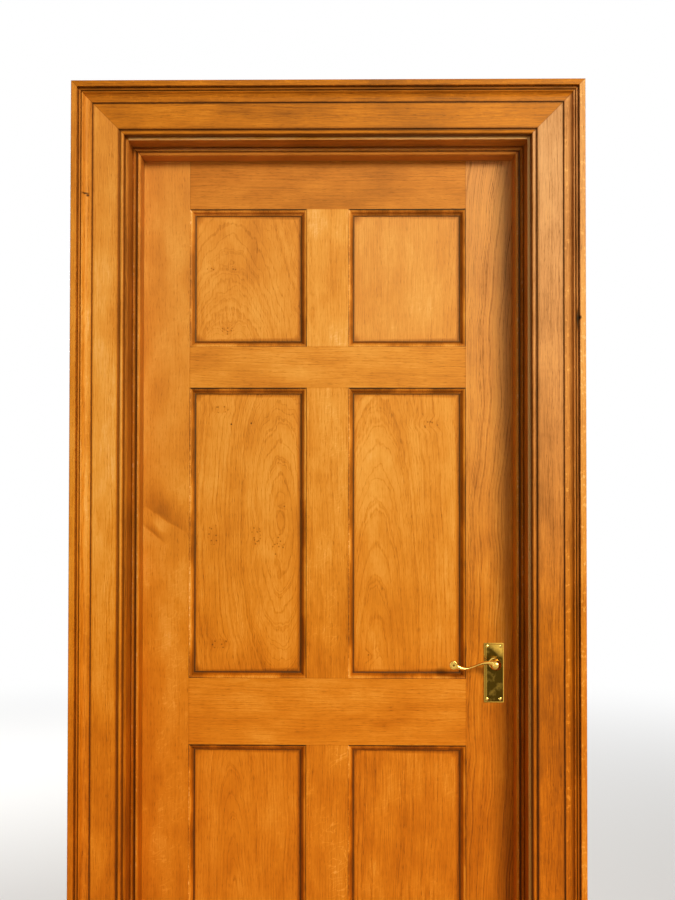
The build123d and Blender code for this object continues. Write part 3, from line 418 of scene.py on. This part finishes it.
def strip_dirt_and_light(middle, half_wide, half_high):
    """Tone across a strip, from the joint with the framing to its foot on the panel.

    Strips at the left and the bottom of a panel, which face the lamp, are painted lighter,
    with the light over more of the round, the left ones with pale specks on its edge, partly
    wear and partly painted glints. Strips at the top are painted darker, as shade.
    """
    speck_rate, speck_depth = 160.0, 0.16  # specks about 6 mm apart
    edge_from, edge_to = 0.0034, 0.0024
    painted_light_wider, painted_light_paler = 0.0013, 0.05
    turn = 0.001  # the strips change sides within 2 mm of the panel's middle lines

    def shade(tree, place, level, cloud):
        away = add(tree, "ShaderNodeVectorMath", {0: place, 1: middle}, operation="SUBTRACT")
        near = add(tree, "ShaderNodeVectorMath", {0: away}, operation="ABSOLUTE")
        edges = (half_wide, 0, half_high)
        gap = add(tree, "ShaderNodeVectorMath", {0: edges, 1: near}, operation="SUBTRACT")
        across, _, up = add(tree, "ShaderNodeSeparateXYZ", {0: gap}).node.outputs
        step = add(tree, "ShaderNodeMath", {0: across, 1: up}, operation="MINIMUM")
        sideways, _, upwards = add(tree, "ShaderNodeSeparateXYZ", {0: away}).node.outputs
        # painted light and shade by the strip's side: the left ones lightest, the bottom and right ones
        # lighter, the top ones darker
        left = add(tree, "ShaderNodeMapRange", {0: sideways, 1: -turn, 2: turn, 3: 1.0, 4: 0.3})
        below = add(tree, "ShaderNodeMapRange", {0: upwards, 1: -turn, 2: turn, 3: 0.9, 4: -0.8})
        upright = add(tree, "ShaderNodeMath", {0: across, 1: up}, operation="LESS_THAN")
        wear_and_light = add(tree, "ShaderNodeMix", {0: upright, 2: below, 3: left})

        # pale specks on the left strips' edge, partly wear and partly painted glints
        lightening = add(tree, "ShaderNodeTexNoise",
                     {0: place, "Scale": speck_rate, "Detail": 3.0, "Roughness": 0.65})
        lightening = add(tree, "ShaderNodeMapRange", {0: lightening, 1: 0.52, 2: 0.6, 4: speck_depth})
        edge = add(tree, "ShaderNodeMapRange", {0: step, 1: edge_from, 2: edge_to})
        edge = add(tree, "ShaderNodeMath", {0: edge, 1: lightening}, operation="MULTIPLY")
        lit = add(tree, "ShaderNodeMapRange", {0: wear_and_light, 1: 0.92, 2: 0.98})
        step = add(tree, "ShaderNodeMath", {0: wear_and_light, 1: painted_light_wider, 2: step}, operation="MULTIPLY_ADD")
        level = add(tree, "ShaderNodeMath", {0: wear_and_light, 1: painted_light_paler, 2: level}, operation="MULTIPLY_ADD")
        level = add(tree, "ShaderNodeMath", {0: edge, 1: lit, 2: level}, operation="MULTIPLY_ADD")
        return strip_stain_and_shade(tree, step, level, cloud)
    return shade


def inside_span(tree, value, middle, half):
    """How far a place lies inside a span: nothing at its two ends, less than nothing beyond."""
    away = add(tree, "ShaderNodeMath", {0: value, 1: middle}, operation="SUBTRACT")
    away = add(tree, "ShaderNodeMath", {0: away}, operation="ABSOLUTE")
    return add(tree, "ShaderNodeMath", {0: half, 1: away}, operation="SUBTRACT")


def rear_strip_dirt_and_shade(tree, place, level, cloud):
    """The same on the far face, where one piece holds the strips of all six panels."""
    across, _, up = add(tree, "ShaderNodeSeparateXYZ", {0: place}).node.outputs
    across = add(tree, "ShaderNodeMath", {0: across}, operation="ABSOLUTE")
    middle, half = openings["panel_top_right"]
    step = inside_span(tree, across, middle.x, half.x)
    rows = -1.0
    for panel in ("panel_top_right", "panel_middle_right", "panel_bottom_right"):
        middle, half = openings[panel]
        row = inside_span(tree, up, middle.z, half.z)
        rows = add(tree, "ShaderNodeMath", {0: rows, 1: row}, operation="MAXIMUM")
    step = add(tree, "ShaderNodeMath", {0: step, 1: rows}, operation="MINIMUM")
    return strip_stain_and_shade(tree, step, level, cloud)


strip_oak = dict(ring=0.004, figure=0.05, rays=0.0)
for number, (node, (middle, half)) in enumerate(openings.items()):
    strips = node.replace("panel", "strips")
    finish_piece(strips, oak("oak_" + strips, middle, 31.0 + number, tone=0.58,
                             dirt=strip_dirt_and_light(middle, half.x, half.z), **strip_oak))
cut_from_oak("strips_rear", 38.0, tone=0.57, dirt=rear_strip_dirt_and_shade, **strip_oak)


# Lining: plain oak jambs tongued into a head that is housed over them. They sit in shade
# and are toned dark, and painted light lies on a thin front margin, which is made paler.
lining_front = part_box("lock_jamb")[0].y
lining_thick = 0.028
margin_from, margin_to = lining_front + 0.003, lining_front + 0.0015


def painted_margin_light(wear_and_light):
    """Painted light on the lining's front margin, which is made that many times lighter."""
    def shade(tree, place, level, cloud):
        depth = add(tree, "ShaderNodeSeparateXYZ", {0: place}, out=1)
        lightening = add(tree, "ShaderNodeMapRange", {0: depth, 1: margin_from, 2: margin_to, 3: 1.0, 4: wear_and_light})
        return add(tree, "ShaderNodeMath", {0: level, 1: lightening}, operation="MULTIPLY")
    return shade


lining_oak = dict(figure=0.05, rays=0.0)
cut_from_oak("hinge_jamb", 41.0, tone=0.40, dirt=painted_margin_light(1.15), **lining_oak)
cut_from_oak("lock_jamb", 42.0, tone=0.42, dirt=painted_margin_light(2.1), **lining_oak)
cut_from_oak("lining_head", 43.0, upright=False, tone=0.42, dirt=painted_margin_light(1.8), **lining_oak)


# Stops: a strip with a cove, a quirk and a bead, planted on the lining to shut the leaf
# against, and mitred at the corners. Dirt and painted shade darken the quirk, and chips show
# on the bead.
def section_dirt_and_shade(half, top, sign, stops, reach, chips=0.0):
    """Tone across a mitred moulding, darkened in its quirks and hollows with dirt and painted
    shade, a dark line down each mitre, and pale chips on its crests.

    The moulding starts at half from the doorway's middle and at top above the floor, and
    goes outwards from there where sign is 1 and inwards where it is -1.
    """
    wear_rate = 110.0  # dirt is ragged, and chips lie, about every 9 mm
    ragged = 0.0016
    mitre_from, mitre_to, mitre_depth = 0.0014, 0.0004, 0.1

    def shade(tree, place, level, cloud):
        across, _, upwards = add(tree, "ShaderNodeSeparateXYZ", {0: place}).node.outputs
        side = add(tree, "ShaderNodeMath", {0: across}, operation="ABSOLUTE")
        side = add(tree, "ShaderNodeMath", {0: side, 1: half}, operation="SUBTRACT")
        up = add(tree, "ShaderNodeMath", {0: upwards, 1: top}, operation="SUBTRACT")
        step = add(tree, "ShaderNodeMath", {0: side, 1: up}, operation="MAXIMUM")
        wear = add(tree, "ShaderNodeTexNoise",
                   {0: place, "Scale": wear_rate, "Detail": 3.0, "Roughness": 0.65})
        step = add(tree, "ShaderNodeMath", {0: wear, 1: ragged, 2: step}, operation="MULTIPLY_ADD")
        step = add(tree, "ShaderNodeMath", {0: step, 1: ragged / 2}, operation="SUBTRACT")
        share = add(tree, "ShaderNodeMath", {0: step, 1: sign / reach}, operation="MULTIPLY")
        tone = add(tree, "ShaderNodeValToRGB", {0: share}, stops=stops)
        level = add(tree, "ShaderNodeMath", {0: level, 1: tone}, operation="MULTIPLY")
        crest = add(tree, "ShaderNodeMapRange", {0: tone, 1: 0.86, 2: 0.98})
        chip = add(tree, "ShaderNodeMapRange", {0: wear, 1: 0.57, 2: 0.64, 4: chips})
        level = add(tree, "ShaderNodeMath", {0: crest, 1: chip, 2: level}, operation="MULTIPLY_ADD")
        cross = add(tree, "ShaderNodeMath", {0: side, 1: up}, operation="SUBTRACT")
        cross = add(tree, "ShaderNodeMath", {0: cross}, operation="ABSOLUTE")
        line = add(tree, "ShaderNodeMapRange", {0: cross, 1: mitre_from, 2: mitre_to, 4: mitre_depth})
        return add(tree, "ShaderNodeMath", {0: level, 1: line}, operation="SUBTRACT")
    return shade


stop_width = 0.0185
clear_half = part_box("lock_jamb")[0].x
clear_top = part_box("lining_head")[1].z - lining_thick
stop_tones = [(0.0, 0.6), (0.05, 0.98), (0.2, 0.98), (0.33, 0.72), (0.41, 0.42), (0.5, 0.36),
              (0.56, 0.43), (0.62, 0.85), (0.72, 1.0), (0.85, 0.8), (1.0, 0.68)]
# the head's tones are painted light and shade apart from the sides': its cove lighter and its bead darker
head_tones = [(0.0, 0.6), (0.05, 0.95), (0.33, 1.0), (0.45, 0.75), (0.55, 0.42), (0.62, 0.58),
              (0.72, 0.71), (0.85, 0.68), (1.0, 0.62)]
side_shade = section_dirt_and_shade(clear_half, clear_top, -1, stop_tones, stop_width, chips=0.16)
head_shade = section_dirt_and_shade(clear_half, clear_top, -1, head_tones, stop_width)
stop_oak = dict(figure=0.04, rays=0.0)
cut_from_oak("stop_hinge_side", 44.0, tone=0.68, dirt=side_shade, **stop_oak)
cut_from_oak("stop_lock_side", 45.0, tone=0.68, dirt=side_shade, **stop_oak)
cut_from_oak("stop_head", 46.0, upright=False, tone=0.74, dirt=head_shade, **stop_oak)


# Front architrave: a beaded oak board round the opening, mitred at the corners, with a
# heavier back band planted on its outer edge. The left side is toned palest, and the right
# one has the most chips.
board_width = 0.0645
band_width = 0.041
front_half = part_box("architrave_front_head")[1].x - board_width
front_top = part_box("architrave_front_head")[0].z
board_tones = [(0.0, 0.45), (0.03, 0.75), (0.06, 1.0), (0.105, 1.0), (0.13, 0.75), (0.15, 0.58),
               (0.18, 0.56), (0.2, 0.75), (0.24, 0.95), (0.3, 1.0), (0.93, 1.0), (0.97, 0.85),
               (1.0, 0.35)]
band_tones = [(0.0, 0.35), (0.025, 0.6), (0.06, 0.95), (0.2, 0.98), (0.42, 0.78), (0.45, 1.0),
              (0.51, 0.75), (0.52, 0.4), (0.535, 0.55), (0.58, 0.8), (0.63, 0.8), (0.655, 0.75),
              (0.668, 0.55), (0.695, 0.6), (0.71, 0.95), (0.74, 1.0), (0.95, 1.0), (1.0, 0.9)]
# each side's band is toned apart as painted light and shade: the ogee lighter on the left and the head, the
# outer fillet darker on the left and lighter on the right
left_band_tones = [(0.0, 0.35), (0.025, 0.6), (0.06, 0.9), (0.2, 0.98), (0.42, 0.9), (0.45, 1.0),
                   (0.51, 0.8), (0.52, 0.45), (0.535, 0.6), (0.58, 0.85), (0.63, 0.85),
                   (0.655, 0.72), (0.668, 0.5), (0.695, 0.55), (0.71, 0.87), (0.74, 0.91),
                   (0.95, 0.91), (1.0, 0.82)]
right_band_tones = band_tones[:-4] + [(0.71, 1.05), (0.74, 1.12), (0.95, 1.12), (1.0, 1.0)]
head_band_tones = band_tones[:4] + [(0.42, 0.98)] + band_tones[5:]
board_shade = section_dirt_and_shade(front_half, front_top, 1, board_tones, board_width)
# brow is painted shade from the head on the left side, pale is painted sheen towards the top, strongest on
# the right, and foot is painted shade towards the floor
front_boards = {
    "left": dict(tone=0.65, streak=0.22, foot=0.10, brow=0.075, pale=0.08),
    "right": dict(tone=0.485, streak=0.36, foot=0.02, pale=0.45),
    "head": dict(tone=0.485, streak=0.3, pale=0.02, upright=False),
}
front_bands = {
    "left": dict(tone=0.66, streak=0.22, foot=0.10, brow=0.075, pale=0.048,
                 nicks=((-0.492, 1.928, 0.010, 0.003), (-0.488, 1.924, 0.005, 0.004))),
    "right": dict(tone=0.53, streak=0.36, foot=0.02, pale=0.27,
                  nicks=((0.508, 1.672, 0.005, 0.006), (0.504, 1.67, 0.003, 0.03))),
    "head": dict(tone=0.46, streak=0.3, pale=0.012, upright=False),
}
band_light_and_chips = {"left": (left_band_tones, 0.04), "right": (right_band_tones, 0.14),
             "head": (head_band_tones, 0.04)}
for number, (side, (tones, chips)) in enumerate(band_light_and_chips.items()):
    cut_from_oak("architrave_front_" + side, 51.0 + number, pith=(0.3, 0.06), ring=0.0065,
                 figure=0.05, rays=0.03, dirt=board_shade, **front_boards[side])
    band_shade = section_dirt_and_shade(front_half + board_width, front_top + board_width, 1, tones,
                              band_width, chips=chips)
    cut_from_oak("back_band_front_" + side, 55.0 + number, pith=(0.3, 0.06), ring=0.0045,
                 figure=0.05, rays=0.02, dirt=band_shade, **front_bands[side])


# Rear architrave: the same board and back band, glued up as one for each side, mitred and
# fixed to the far edge of the lining with a margin 3 mm wider than at the front.
wider_margin = 0.003
rear_width = board_width + band_width
rear_half = front_half + wider_margin
rear_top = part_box("architrave_rear_head")[1].z - rear_width
rear_tones = [(place * board_width / rear_width, tone) for place, tone in board_tones]
rear_tones += [((board_width + place * band_width) / rear_width, tone) for place, tone in band_tones[1:]]
rear_shade = section_dirt_and_shade(rear_half, rear_top, 1, rear_tones, rear_width)
for number, side in enumerate(("left", "right", "head")):
    cut_from_oak("architrave_rear_" + side, 61.0 + number, upright=side != "head",
                 pith=(0.3, 0.06), ring=0.0045, figure=0.06, rays=0.04, tone=0.62, dirt=rear_shade)


# Door furniture: levers and plates of cast brass, polished and lacquered, and hinges, keep
# and faceplate of pressed brass. It has stayed bright on edges and wherever a hand rubs it,
# and browned on the flats.
def brass(name, bright, dull, shine, wear_and_light=0.5, dirt=None):
    """Brass. The dull colour gathers in clouds, and where it does the shine is less."""
    cloud_rate, fine_rate = 70.0, 600.0  # clouds 14 mm wide, polishing marks under 2 mm
    made, tree, shader = new_material(name)
    place = add(tree, "ShaderNodeTexCoord", {}, out=3)
    cloud = add(tree, "ShaderNodeTexNoise",
                {0: place, "Scale": cloud_rate, "Detail": 3.0, "Roughness": 0.6})
    mixed = add(tree, "ShaderNodeMapRange", {0: cloud, 1: 0.35, 2: 0.7, 4: wear_and_light})
    if dirt:
        mixed = dirt(tree, place, mixed, cloud)
    colour = add(tree, "ShaderNodeMix", {0: mixed, 6: linear(bright), 7: linear(dull)}, out=2,
                 data_type="RGBA")
    tree.links.new(colour, shader.inputs["Base Color"])
    rough = add(tree, "ShaderNodeMapRange", {0: mixed, 3: shine, 4: shine + 0.16})
    tree.links.new(rough, shader.inputs["Roughness"])
    fine = add(tree, "ShaderNodeTexNoise", {0: place, "Scale": fine_rate, "Detail": 2.0})
    bump = add(tree, "ShaderNodeBump", {"Strength": 0.08, "Distance": 0.0002, "Height": fine})
    tree.links.new(bump, shader.inputs["Normal"])
    shader.inputs["Metallic"].default_value = 1.0
    return made


plate_low, plate_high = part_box("backplate_front")
plate_middle = (plate_low + plate_high) / 2
plate_half = (plate_high - plate_low) / 2
rim_edge, field_edge = 0.0009, 0.0018
left_from, left_to = -0.0135, -0.018
top_from, top_to, top_slope = 0.042, 0.058, 0.8
# painted shade grows over the plate from its middle towards its left, away from the lamp
rim_bright, rim_shaded, rim_depth = 0.012, -0.016, 0.6


def plate_browning_and_shade(tree, place, level, cloud):
    """Bright on the rim and dark in the field, the dark partly browning and partly a painted
    reflection of dark surroundings; painted shade over its left part, and lighter streaks at its
    left and its top.
    """
    heart = (plate_middle.x, 0.0, plate_middle.z)
    away = add(tree, "ShaderNodeVectorMath", {0: place, 1: heart}, operation="SUBTRACT")
    near = add(tree, "ShaderNodeVectorMath", {0: away}, operation="ABSOLUTE")
    edges = (plate_half.x, 0.0, plate_half.z)
    gap = add(tree, "ShaderNodeVectorMath", {0: edges, 1: near}, operation="SUBTRACT")
    across, _, up = add(tree, "ShaderNodeSeparateXYZ", {0: gap}).node.outputs
    inward = add(tree, "ShaderNodeMath", {0: across, 1: up}, operation="MINIMUM")
    field = add(tree, "ShaderNodeMapRange", {0: inward, 1: rim_edge, 2: field_edge})
    sideways, _, upwards = add(tree, "ShaderNodeSeparateXYZ", {0: away}).node.outputs
    left = add(tree, "ShaderNodeMapRange", {0: sideways, 1: left_from, 2: left_to, 4: 0.5})
    climb = add(tree, "ShaderNodeMath", {0: sideways, 1: top_slope, 2: upwards}, operation="MULTIPLY_ADD")
    top = add(tree, "ShaderNodeMapRange", {0: climb, 1: top_from, 2: top_to, 4: 0.5})
    lightening = add(tree, "ShaderNodeMath", {0: left, 1: top}, operation="MAXIMUM")
    ragged = add(tree, "ShaderNodeMath", {0: cloud, 1: 0.6, 2: lightening}, operation="MULTIPLY_ADD")
    dark = add(tree, "ShaderNodeMapRange", {0: ragged, 1: 0.85, 2: 0.3})
    dark = add(tree, "ShaderNodeMath", {0: dark, 1: field}, operation="MULTIPLY")
    rim = add(tree, "ShaderNodeMapRange", {0: sideways, 1: rim_bright, 2: rim_shaded, 4: rim_depth})
    return add(tree, "ShaderNodeMath", {0: dark, 1: rim}, operation="MAXIMUM")


scroll_eye = (0.2635, 0.0, 0.961)
eye_rim, eye_bottom = 0.0032, 0.0018
turn_radius, turn_line, turn_depth = 0.0062, 0.0009, 0.7


def eye_dirt_and_shade(tree, place, level, cloud):
    """Polish and dirt left in the eye of the scroll and along its turn, with painted shade
    there, where the real scroll is dished and grooved.
    """
    away = add(tree, "ShaderNodeVectorMath", {0: place, 1: scroll_eye}, operation="SUBTRACT")
    flat = add(tree, "ShaderNodeVectorMath", {0: away, 1: (1.0, 0.0, 1.0)}, operation="MULTIPLY")
    gap = add(tree, "ShaderNodeVectorMath", {0: flat}, out=1, operation="LENGTH")
    eye_spot = add(tree, "ShaderNodeMapRange", {0: gap, 1: eye_rim, 2: eye_bottom})
    turn = add(tree, "ShaderNodeMath", {0: gap, 1: turn_radius}, operation="SUBTRACT")
    turn = add(tree, "ShaderNodeMath", {0: turn}, operation="ABSOLUTE")
    turn = add(tree, "ShaderNodeMapRange", {0: turn, 1: turn_line, 2: 0.0002, 4: turn_depth})
    dark = add(tree, "ShaderNodeMath", {0: eye_spot, 1: turn}, operation="MAXIMUM")
    return add(tree, "ShaderNodeMath", {0: dark, 1: level}, operation="MAXIMUM")


polished_brass = brass("polished_brass", "#E8BA55", "#7A5418", 0.14, 0.35, dirt=eye_dirt_and_shade)
plate_brass = brass("browned_and_shaded_brass", "#E6B448", "#46330A", 0.12, dirt=plate_browning_and_shade)
dull_brass = brass("dull_brass", "#B8923F", "#7A5A24", 0.32, 0.6)
for node in ("lever_front", "lever_rear"):
    finish_piece(node, polished_brass)
for node in ("backplate_front", "backplate_rear"):
    finish_piece(node, plate_brass)
hinges = [node for node in pieces if node.startswith("hinge_") and node not in ("hinge_stile", "hinge_jamb")]
for node in hinges + ["strike_plate", "latch_faceplate", "door_screws", "frame_screws"]:
    finish_piece(node, dull_brass)


# Screws: slotted brass wood screws, turned and slotted by machine. Raised heads hold the
# back plates and are polished with them, flat heads hold the hinges, latch and keep.
weld_gap = 0.000001
slot_width = 0.0009
slot_length = 0.012
raised_slot_depth = 0.0010
flat_slot_depth = 0.0008
first_turn, next_turn = 0.6, 2.4  # no two slots line up


def welded_copy(name, node):
    """A copy of a node as a piece of its own, its triangles merged and still in edit mode."""
    copy = bpy.data.objects.new(name, pieces[node].data.copy())
    bpy.context.scene.collection.objects.link(copy)
    bpy.ops.object.select_all(action="DESELECT")
    copy.select_set(True)
    bpy.context.view_layer.objects.active = copy
    bpy.ops.object.mode_set(mode="EDIT")
    bpy.ops.mesh.select_all(action="SELECT")
    bpy.ops.mesh.remove_doubles(threshold=weld_gap)
    return copy


def slot_head(screw, head, turned, raised):
    """Cuts the slot across a screw's head, turned to where the screwdriver left it."""
    cut = 2 * (raised_slot_depth if raised else flat_slot_depth)
    bpy.ops.object.select_all(action="DESELECT")
    bpy.ops.mesh.primitive_cube_add(
        size=1.0, location=head, rotation=(0, turned, 0) if raised else (turned, 0, 0),
        scale=(slot_width, cut, slot_length) if raised else (cut, slot_width, slot_length))
    cutter = bpy.context.object
    bpy.ops.object.select_all(action="DESELECT")
    screw.select_set(True)
    bpy.context.view_layer.objects.active = screw
    bpy.ops.object.modifier_add(type="BOOLEAN")
    screw.modifiers[0].object = cutter
    screw.modifiers[0].solver = "EXACT"
    bpy.ops.object.modifier_apply(modifier=screw.modifiers[0].name)
    bpy.data.objects.remove(cutter)


def slotted_screws(name, node, body, raised, material):
    """The raised or the flat screws of a node. Raised ones stand along y, flat ones along x."""
    welded_copy(name, node)
    bpy.ops.mesh.separate(type="LOOSE")
    bpy.ops.object.mode_set(mode="OBJECT")
    kept = []
    for number, screw in enumerate(list(bpy.context.selected_objects)):
        spots = [vertex.co for vertex in screw.data.vertices]
        low = Vector([min(spot[axis] for spot in spots) for axis in range(3)])
        high = Vector([max(spot[axis] for spot in spots) for axis in range(3)])
        axis = 1 if high.y - low.y > high.x - low.x else 0
        if (axis == 1) != raised:
            bpy.data.objects.remove(screw)
            continue
        head = (low + high) / 2
        outward = sum(spot[axis] for spot in spots) / len(spots) > head[axis]
        head[axis] = high[axis] if outward else low[axis]
        slot_head(screw, head, first_turn + number * next_turn, raised)
        kept.append(screw)
    bpy.ops.object.select_all(action="DESELECT")
    for screw in kept:
        screw.select_set(True)
    bpy.context.view_layer.objects.active = kept[0]
    bpy.ops.object.join()
    screws = bpy.context.object
    screws.name = name
    bpy.ops.object.shade_smooth_by_angle(angle=math.radians(30))
    screws.data.materials.clear()
    screws.data.materials.append(material)
    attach(screws, body)
    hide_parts(node)


bright_brass = brass("bright_brass", "#F0C860", "#A87A28", 0.12, 0.4)
slotted_screws("plate_screws", "door_screws", "door", True, bright_brass)
slotted_screws("leaf_screws", "door_screws", "door", False, dull_brass)
slotted_screws("jamb_screws", "frame_screws", "frame", False, dull_brass)


# Latch: case, cover, bolt, follower, spindle and grub screws of pressed and machined steel,
# zinc plated against rust. The bath leaves a pale grey skin with faint clouds.
def plated_steel(name):
    """Zinc on steel, with the faint clouding of the plating bath."""
    cloud_rate = 120.0  # clouds 8 mm wide
    made, tree, shader = new_material(name)
    place = add(tree, "ShaderNodeTexCoord", {}, out=3)
    cloud = add(tree, "ShaderNodeTexNoise", {0: place, "Scale": cloud_rate, "Detail": 3.0})
    colour = add(tree, "ShaderNodeValToRGB", {0: cloud}, stops=[(0.3, "#9A9A94"), (0.7, "#BFC0BA")])
    tree.links.new(colour, shader.inputs["Base Color"])
    rough = add(tree, "ShaderNodeMapRange", {0: cloud, 1: 0.3, 2: 0.7, 3: 0.25, 4: 0.42})
    tree.links.new(rough, shader.inputs["Roughness"])
    shader.inputs["Metallic"].default_value = 1.0
    return made


zinc = plated_steel("zinc_plated_steel")
for node in ("latch_case", "latch_cover", "latch_bolt", "latch_follower", "latch_spring", "spindle",
             "grub_screws"):
    finish_piece(node, zinc)


# Return spring: a coil of zinc plated steel wire that stands on the floor of the latch case.
# The follower's arm presses it shorter as the lever goes down; here it is the latch
# spring's mesh, welded, smoothed and hung on the door with a mesh of its own.
return_spring = welded_copy("return_spring", "latch_spring")
bpy.ops.object.mode_set(mode="OBJECT")
bpy.ops.object.shade_smooth_by_angle(angle=math.radians(50))
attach(return_spring, "door")
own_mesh(return_spring)
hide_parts("latch_spring")


# Studio: a pale floor that keeps the door's shadow and fades into a white surround, which
# the brass mirrors.
floor_reach = 14.0
floor_drop = 0.001
fade_from, fade_to = 1.2, 6.5
bpy.ops.object.select_all(action="DESELECT")
bpy.ops.mesh.primitive_circle_add(vertices=96, radius=floor_reach, fill_type="NGON",
                                  location=(0, 0, -floor_drop))
floor = bpy.context.object
floor.name = "floor"
made, tree, shader = new_material("pale_floor_paint")
shader.inputs["Base Color"].default_value = linear("#E8E6E2")
shader.inputs["Roughness"].default_value = 0.9
place = add(tree, "ShaderNodeTexCoord", {}, out=3)
away = add(tree, "ShaderNodeVectorMath", {0: place}, out=1, operation="LENGTH")
fade = add(tree, "ShaderNodeMapRange", {0: away, 1: fade_from, 2: fade_to}, interpolation_type="SMOOTHSTEP")
ray = add(tree, "ShaderNodeLightPath", {})
seen = add(tree, "ShaderNodeMath", {0: ray, 1: ray.node.outputs["Is Glossy Ray"]}, operation="MAXIMUM")
glow = add(tree, "ShaderNodeEmission", {"Strength": seen})
mixed = add(tree, "ShaderNodeMixShader", {0: fade, 1: shader.outputs[0], 2: glow})
tree.links.new(mixed, tree.nodes["Material Output"].inputs["Surface"])
floor.data.materials.append(made)

world = bpy.data.worlds.new("studio")
bpy.context.scene.world = world
world.use_nodes = True
tree = world.node_tree
ray = add(tree, "ShaderNodeLightPath", {})
seen = add(tree, "ShaderNodeMath", {0: ray, 1: ray.node.outputs["Is Glossy Ray"]}, operation="MAXIMUM")
seen = add(tree, "ShaderNodeMath", {0: seen, 1: ray.node.outputs["Is Transmission Ray"]}, operation="MAXIMUM")
strength = add(tree, "ShaderNodeMapRange", {0: seen, 3: 0.2, 4: 1.0})
tree.links.new(strength, tree.nodes["Background"].inputs["Strength"])
tree.nodes["Background"].inputs["Color"].default_value = (1, 1, 1, 1)
bpy.context.scene.view_settings.view_transform = "Standard"


# Lamps: a key lamp high on the right of the eye, a second beside it that only puts a sheen
# on wax and brass, a weak one on the left, and one behind for the door's far side.
def lamp(name, place, aim, size, power):
    """A square soft lamp aimed at a point."""
    light = bpy.data.lights.new(name, "AREA")
    light.size = size
    light.energy = power
    made = bpy.data.objects.new(name, light)
    made.location = place
    made.rotation_euler = (Vector(aim) - Vector(place)).to_track_quat("-Z", "Y").to_euler()
    bpy.context.scene.collection.objects.link(made)
    return made


sheen = lamp("sheen", (1.1, -4.3, 2.9), (0.3, 0, 1.7), 0.9, 90.0)
sheen.visible_diffuse = False
lamp("key", (2.4, -4.3, 3.1), (0.1, 0, 1.2), 1.3, 245.0)
lamp("fill", (-3.0, -3.6, 1.4), (0, 0, 1.2), 2.4, 12.0)
lamp("rear", (-2.4, 4.3, 3.1), (0, 0, 1.2), 2.0, 200.0)


# Camera: the eye stands a little right of the doorway's middle, at chest height, and looks
# almost straight at the door, so that the foot of the door is below the picture.
eye = Vector((0.0180, -2.5424, 1.3072))
tilt_up, turn_left, roll = (math.radians(angle) for angle in (1.05, 0.85, 0.08))
picture_px = (675, 900)
focal_px = 1211.2
centre_px = (317.9, 476.4)
film_mm = 36.0
camera = bpy.data.objects.new("camera", bpy.data.cameras.new("camera"))
camera.data.sensor_width = film_mm
camera.data.lens = focal_px / max(picture_px) * film_mm
camera.data.shift_x = (picture_px[0] / 2 - centre_px[0]) / max(picture_px)
camera.data.shift_y = (centre_px[1] - picture_px[1] / 2) / max(picture_px)
camera.data.clip_start = 0.05
facing = Matrix.Rotation(turn_left, 3, "Z") @ Matrix.Rotation(math.pi / 2 + tilt_up, 3, "X")
facing = facing @ Matrix.Rotation(roll, 3, "Z")
camera.location = eye
camera.rotation_euler = facing.to_euler()
bpy.context.scene.collection.objects.link(camera)
bpy.context.scene.camera = camera
